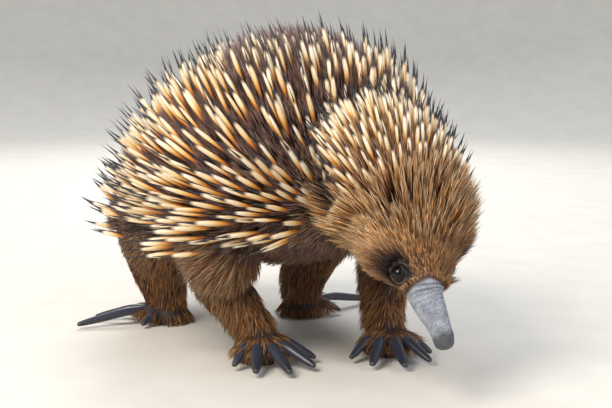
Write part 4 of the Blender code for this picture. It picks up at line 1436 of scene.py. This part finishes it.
class MESH_OT_echidna_leg_fur(bpy.types.Operator):
    """Golden-brown hair that hangs down the legs and over the feet"""

    bl_idname = "mesh.echidna_leg_fur"
    bl_label = "Leg hair"

    def execute(self, context):
        surface = SkinSurface(bpy.data.objects["skin"])

        def values(place, normal, lie, draw):
            count = len(place)
            foot = 1 - smooth_step(0.008, 0.030, place[:, 2])
            fore = smooth_step(-0.03, 0.0, place[:, 0])
            high = smooth_step(0.035, 0.075, place[:, 2]) * (2 * fore - 1)
            return {
                "length": (15 - 5 * foot + 8 * high) * MM * draw.uniform(0.7, 1.15, count),
                "radius": (0.28 - 0.07 * foot) * MM * draw.uniform(0.7, 1.2, count),
                "lean": np.radians(18 + draw.uniform(-6, 6, count)),
                "end_lean": np.radians(2 + 6 * foot + draw.uniform(-6, 6, count)),
                "tone": np.clip(0.62 + 0.35 * draw.random(count) - 0.30 * np.abs(high), 0, 1),
                "shade": draw.uniform(0.3, 1.0, count),
                "pale": (draw.random(count) < 0.10 + 0.12 * np.abs(high)) * 0.6,
            }

        for order, (name, leg) in enumerate(LEGS.items()):
            draw = np.random.default_rng(SEED + 50 + order)
            foot = foot_centre(*name.split("_"))

            def lie(place, normal, foot=foot):
                high = smooth_step(0.035, 0.072, place[:, 2])[:, None]
                low = (1 - smooth_step(0.009, 0.020, place[:, 2]))[:, None]
                outward = unit((place - foot) * [1, 1, 0])
                hanging = np.array([-0.30, 0, -1.0]) * (1 - low) + (outward + [0, 0, -0.6]) * low
                return tangent(normal, hanging * (1 - high) + np.array([-1.0, 0, -0.25]) * high)

            def density(place, normal, name=name):
                region, share = region_of(place)
                sole = 0.010 if name.startswith("foreleg") else 0.004
                keep = (region == name) & (place[:, 2] > sole) & (normal[:, 2] > -0.9)
                return keep * (TRUNK.gap(place) > -2 * MM) * (place[:, 2] < skirt_height(place) + 0.002)

            style = {"lie": lie, "values": values}
            count = coat_settings().leg_hairs
            fur_piece(f"{name}_fur", draw, surface, count, 6, 1.5 * MM, density, style, SHORT_PROFILE)
        return {"FINISHED"}


class SCENE_OT_echidna_stage(bpy.types.Operator):
    """The floor, the soft studio lights and the camera"""

    bl_idname = "scene.echidna_stage"
    bl_label = "Stage"

    def execute(self, context):
        stage = context.scene.echidna_stage
        context.scene.view_settings.view_transform = "Standard"
        floor = self._sweep(0.5 * stage.floor_size)
        floor.data.materials.append(shared_material(studio_paper))
        for name, (place, size, share, code) in LIGHTS.items():
            self._light(name, place, size, share * stage.key_power, code)
        world = bpy.data.worlds.new("studio")
        world.use_nodes = True
        sky = world.node_tree.nodes["Background"]
        sky.inputs["Color"].default_value = (*stage.sky_colour, 1.0)
        sky.inputs["Strength"].default_value = stage.sky_strength
        context.scene.world = world
        self._camera(context)
        return {"FINISHED"}

    def _sweep(self, reach):
        """A round sheet of paper, flat under the animal and curved up far away, so no horizon shows."""
        rows = [np.array([[0.0, 0.0, 0.0]])]
        for radius in np.linspace(0.15, 1.0, 30) * reach:
            rise = 0.9 * max(0.0, radius - 0.55 * reach) ** 2
            turns = np.linspace(0, 2 * math.pi, 64, endpoint=False)
            rows.append(np.column_stack([radius * np.cos(turns), radius * np.sin(turns), np.full(64, rise)]))
        starts = np.cumsum([0] + [len(row) for row in rows])
        faces = [(0, 1 + i, 1 + (i + 1) % 64) for i in range(64)]
        for a, b in zip(starts[1:-2], starts[2:-1]):
            faces += [(a + i, b + i, b + (i + 1) % 64, a + (i + 1) % 64) for i in range(64)]
        return make_mesh("floor", np.vstack(rows) - SHIFT, faces)

    def _light(self, name, place, size, power, code):
        lamp = bpy.data.lights.new(name, "AREA")
        lamp.shape = "DISK"
        lamp.size = size
        lamp.energy = power
        lamp.color = linear(code)[:3]
        made = placed(name, lamp)
        made.location = place
        aim = Vector(LIGHT_AIM) - Vector(place)
        made.rotation_euler = aim.to_track_quat("-Z", "Y").to_euler()

    def _camera(self, context):
        heading, pitch = math.radians(CAMERA_HEADING), math.radians(CAMERA_PITCH)
        level = Vector((-math.cos(heading), math.sin(heading), 0))
        forward = level * math.cos(pitch) - Vector((0, 0, math.sin(pitch)))
        lens = bpy.data.cameras.new("camera")
        lens.lens = CAMERA_LENS
        lens.sensor_width = 36.0
        made = placed("camera", lens)
        made.location = Vector(CAMERA_PLACE) + Vector(SHIFT)
        made.rotation_euler = forward.to_track_quat("-Z", "Y").to_euler()
        context.scene.camera = made


class VIEW3D_PT_echidna(bpy.types.Panel):
    """Lists the echidna's pieces and settings in the sidebar"""

    bl_idname = "VIEW3D_PT_echidna"
    bl_label = "Echidna"
    bl_space_type = "VIEW_3D"
    bl_region_type = "UI"
    bl_category = "Echidna"

    def draw(self, context):
        for step in STEPS:
            self.layout.operator(step.bl_idname)
        for group in (context.scene.echidna_coat, context.scene.echidna_stage):
            for key in group.bl_rna.properties.keys():
                if key not in ("rna_type", "name"):
                    self.layout.prop(group, key)


STEPS = (
    SCENE_OT_echidna_stage,
    MESH_OT_echidna_skin,
    MESH_OT_echidna_eyes,
    MESH_OT_echidna_claws,
    MESH_OT_echidna_spines,
    MESH_OT_echidna_back_fur,
    MESH_OT_echidna_flank_fur,
    MESH_OT_echidna_head_fur,
    MESH_OT_echidna_leg_fur,
)
CLASSES = (EchidnaCoat, EchidnaStage, *STEPS, VIEW3D_PT_echidna)


def register():
    for cls in CLASSES:
        bpy.utils.register_class(cls)
    bpy.types.Scene.echidna_coat = PointerProperty(type=EchidnaCoat)
    bpy.types.Scene.echidna_stage = PointerProperty(type=EchidnaStage)


def unregister():
    del bpy.types.Scene.echidna_coat
    del bpy.types.Scene.echidna_stage
    for cls in reversed(CLASSES):
        bpy.utils.unregister_class(cls)


def main():
    register()
    bpy.ops.scene.echidna_stage()
    bpy.ops.mesh.echidna_skin()
    bpy.ops.mesh.echidna_eyes()
    bpy.ops.mesh.echidna_claws()
    bpy.ops.mesh.echidna_spines()
    bpy.ops.mesh.echidna_back_fur()
    bpy.ops.mesh.echidna_flank_fur()
    bpy.ops.mesh.echidna_head_fur()
    bpy.ops.mesh.echidna_leg_fur()


if __name__ == "__main__":
    main()
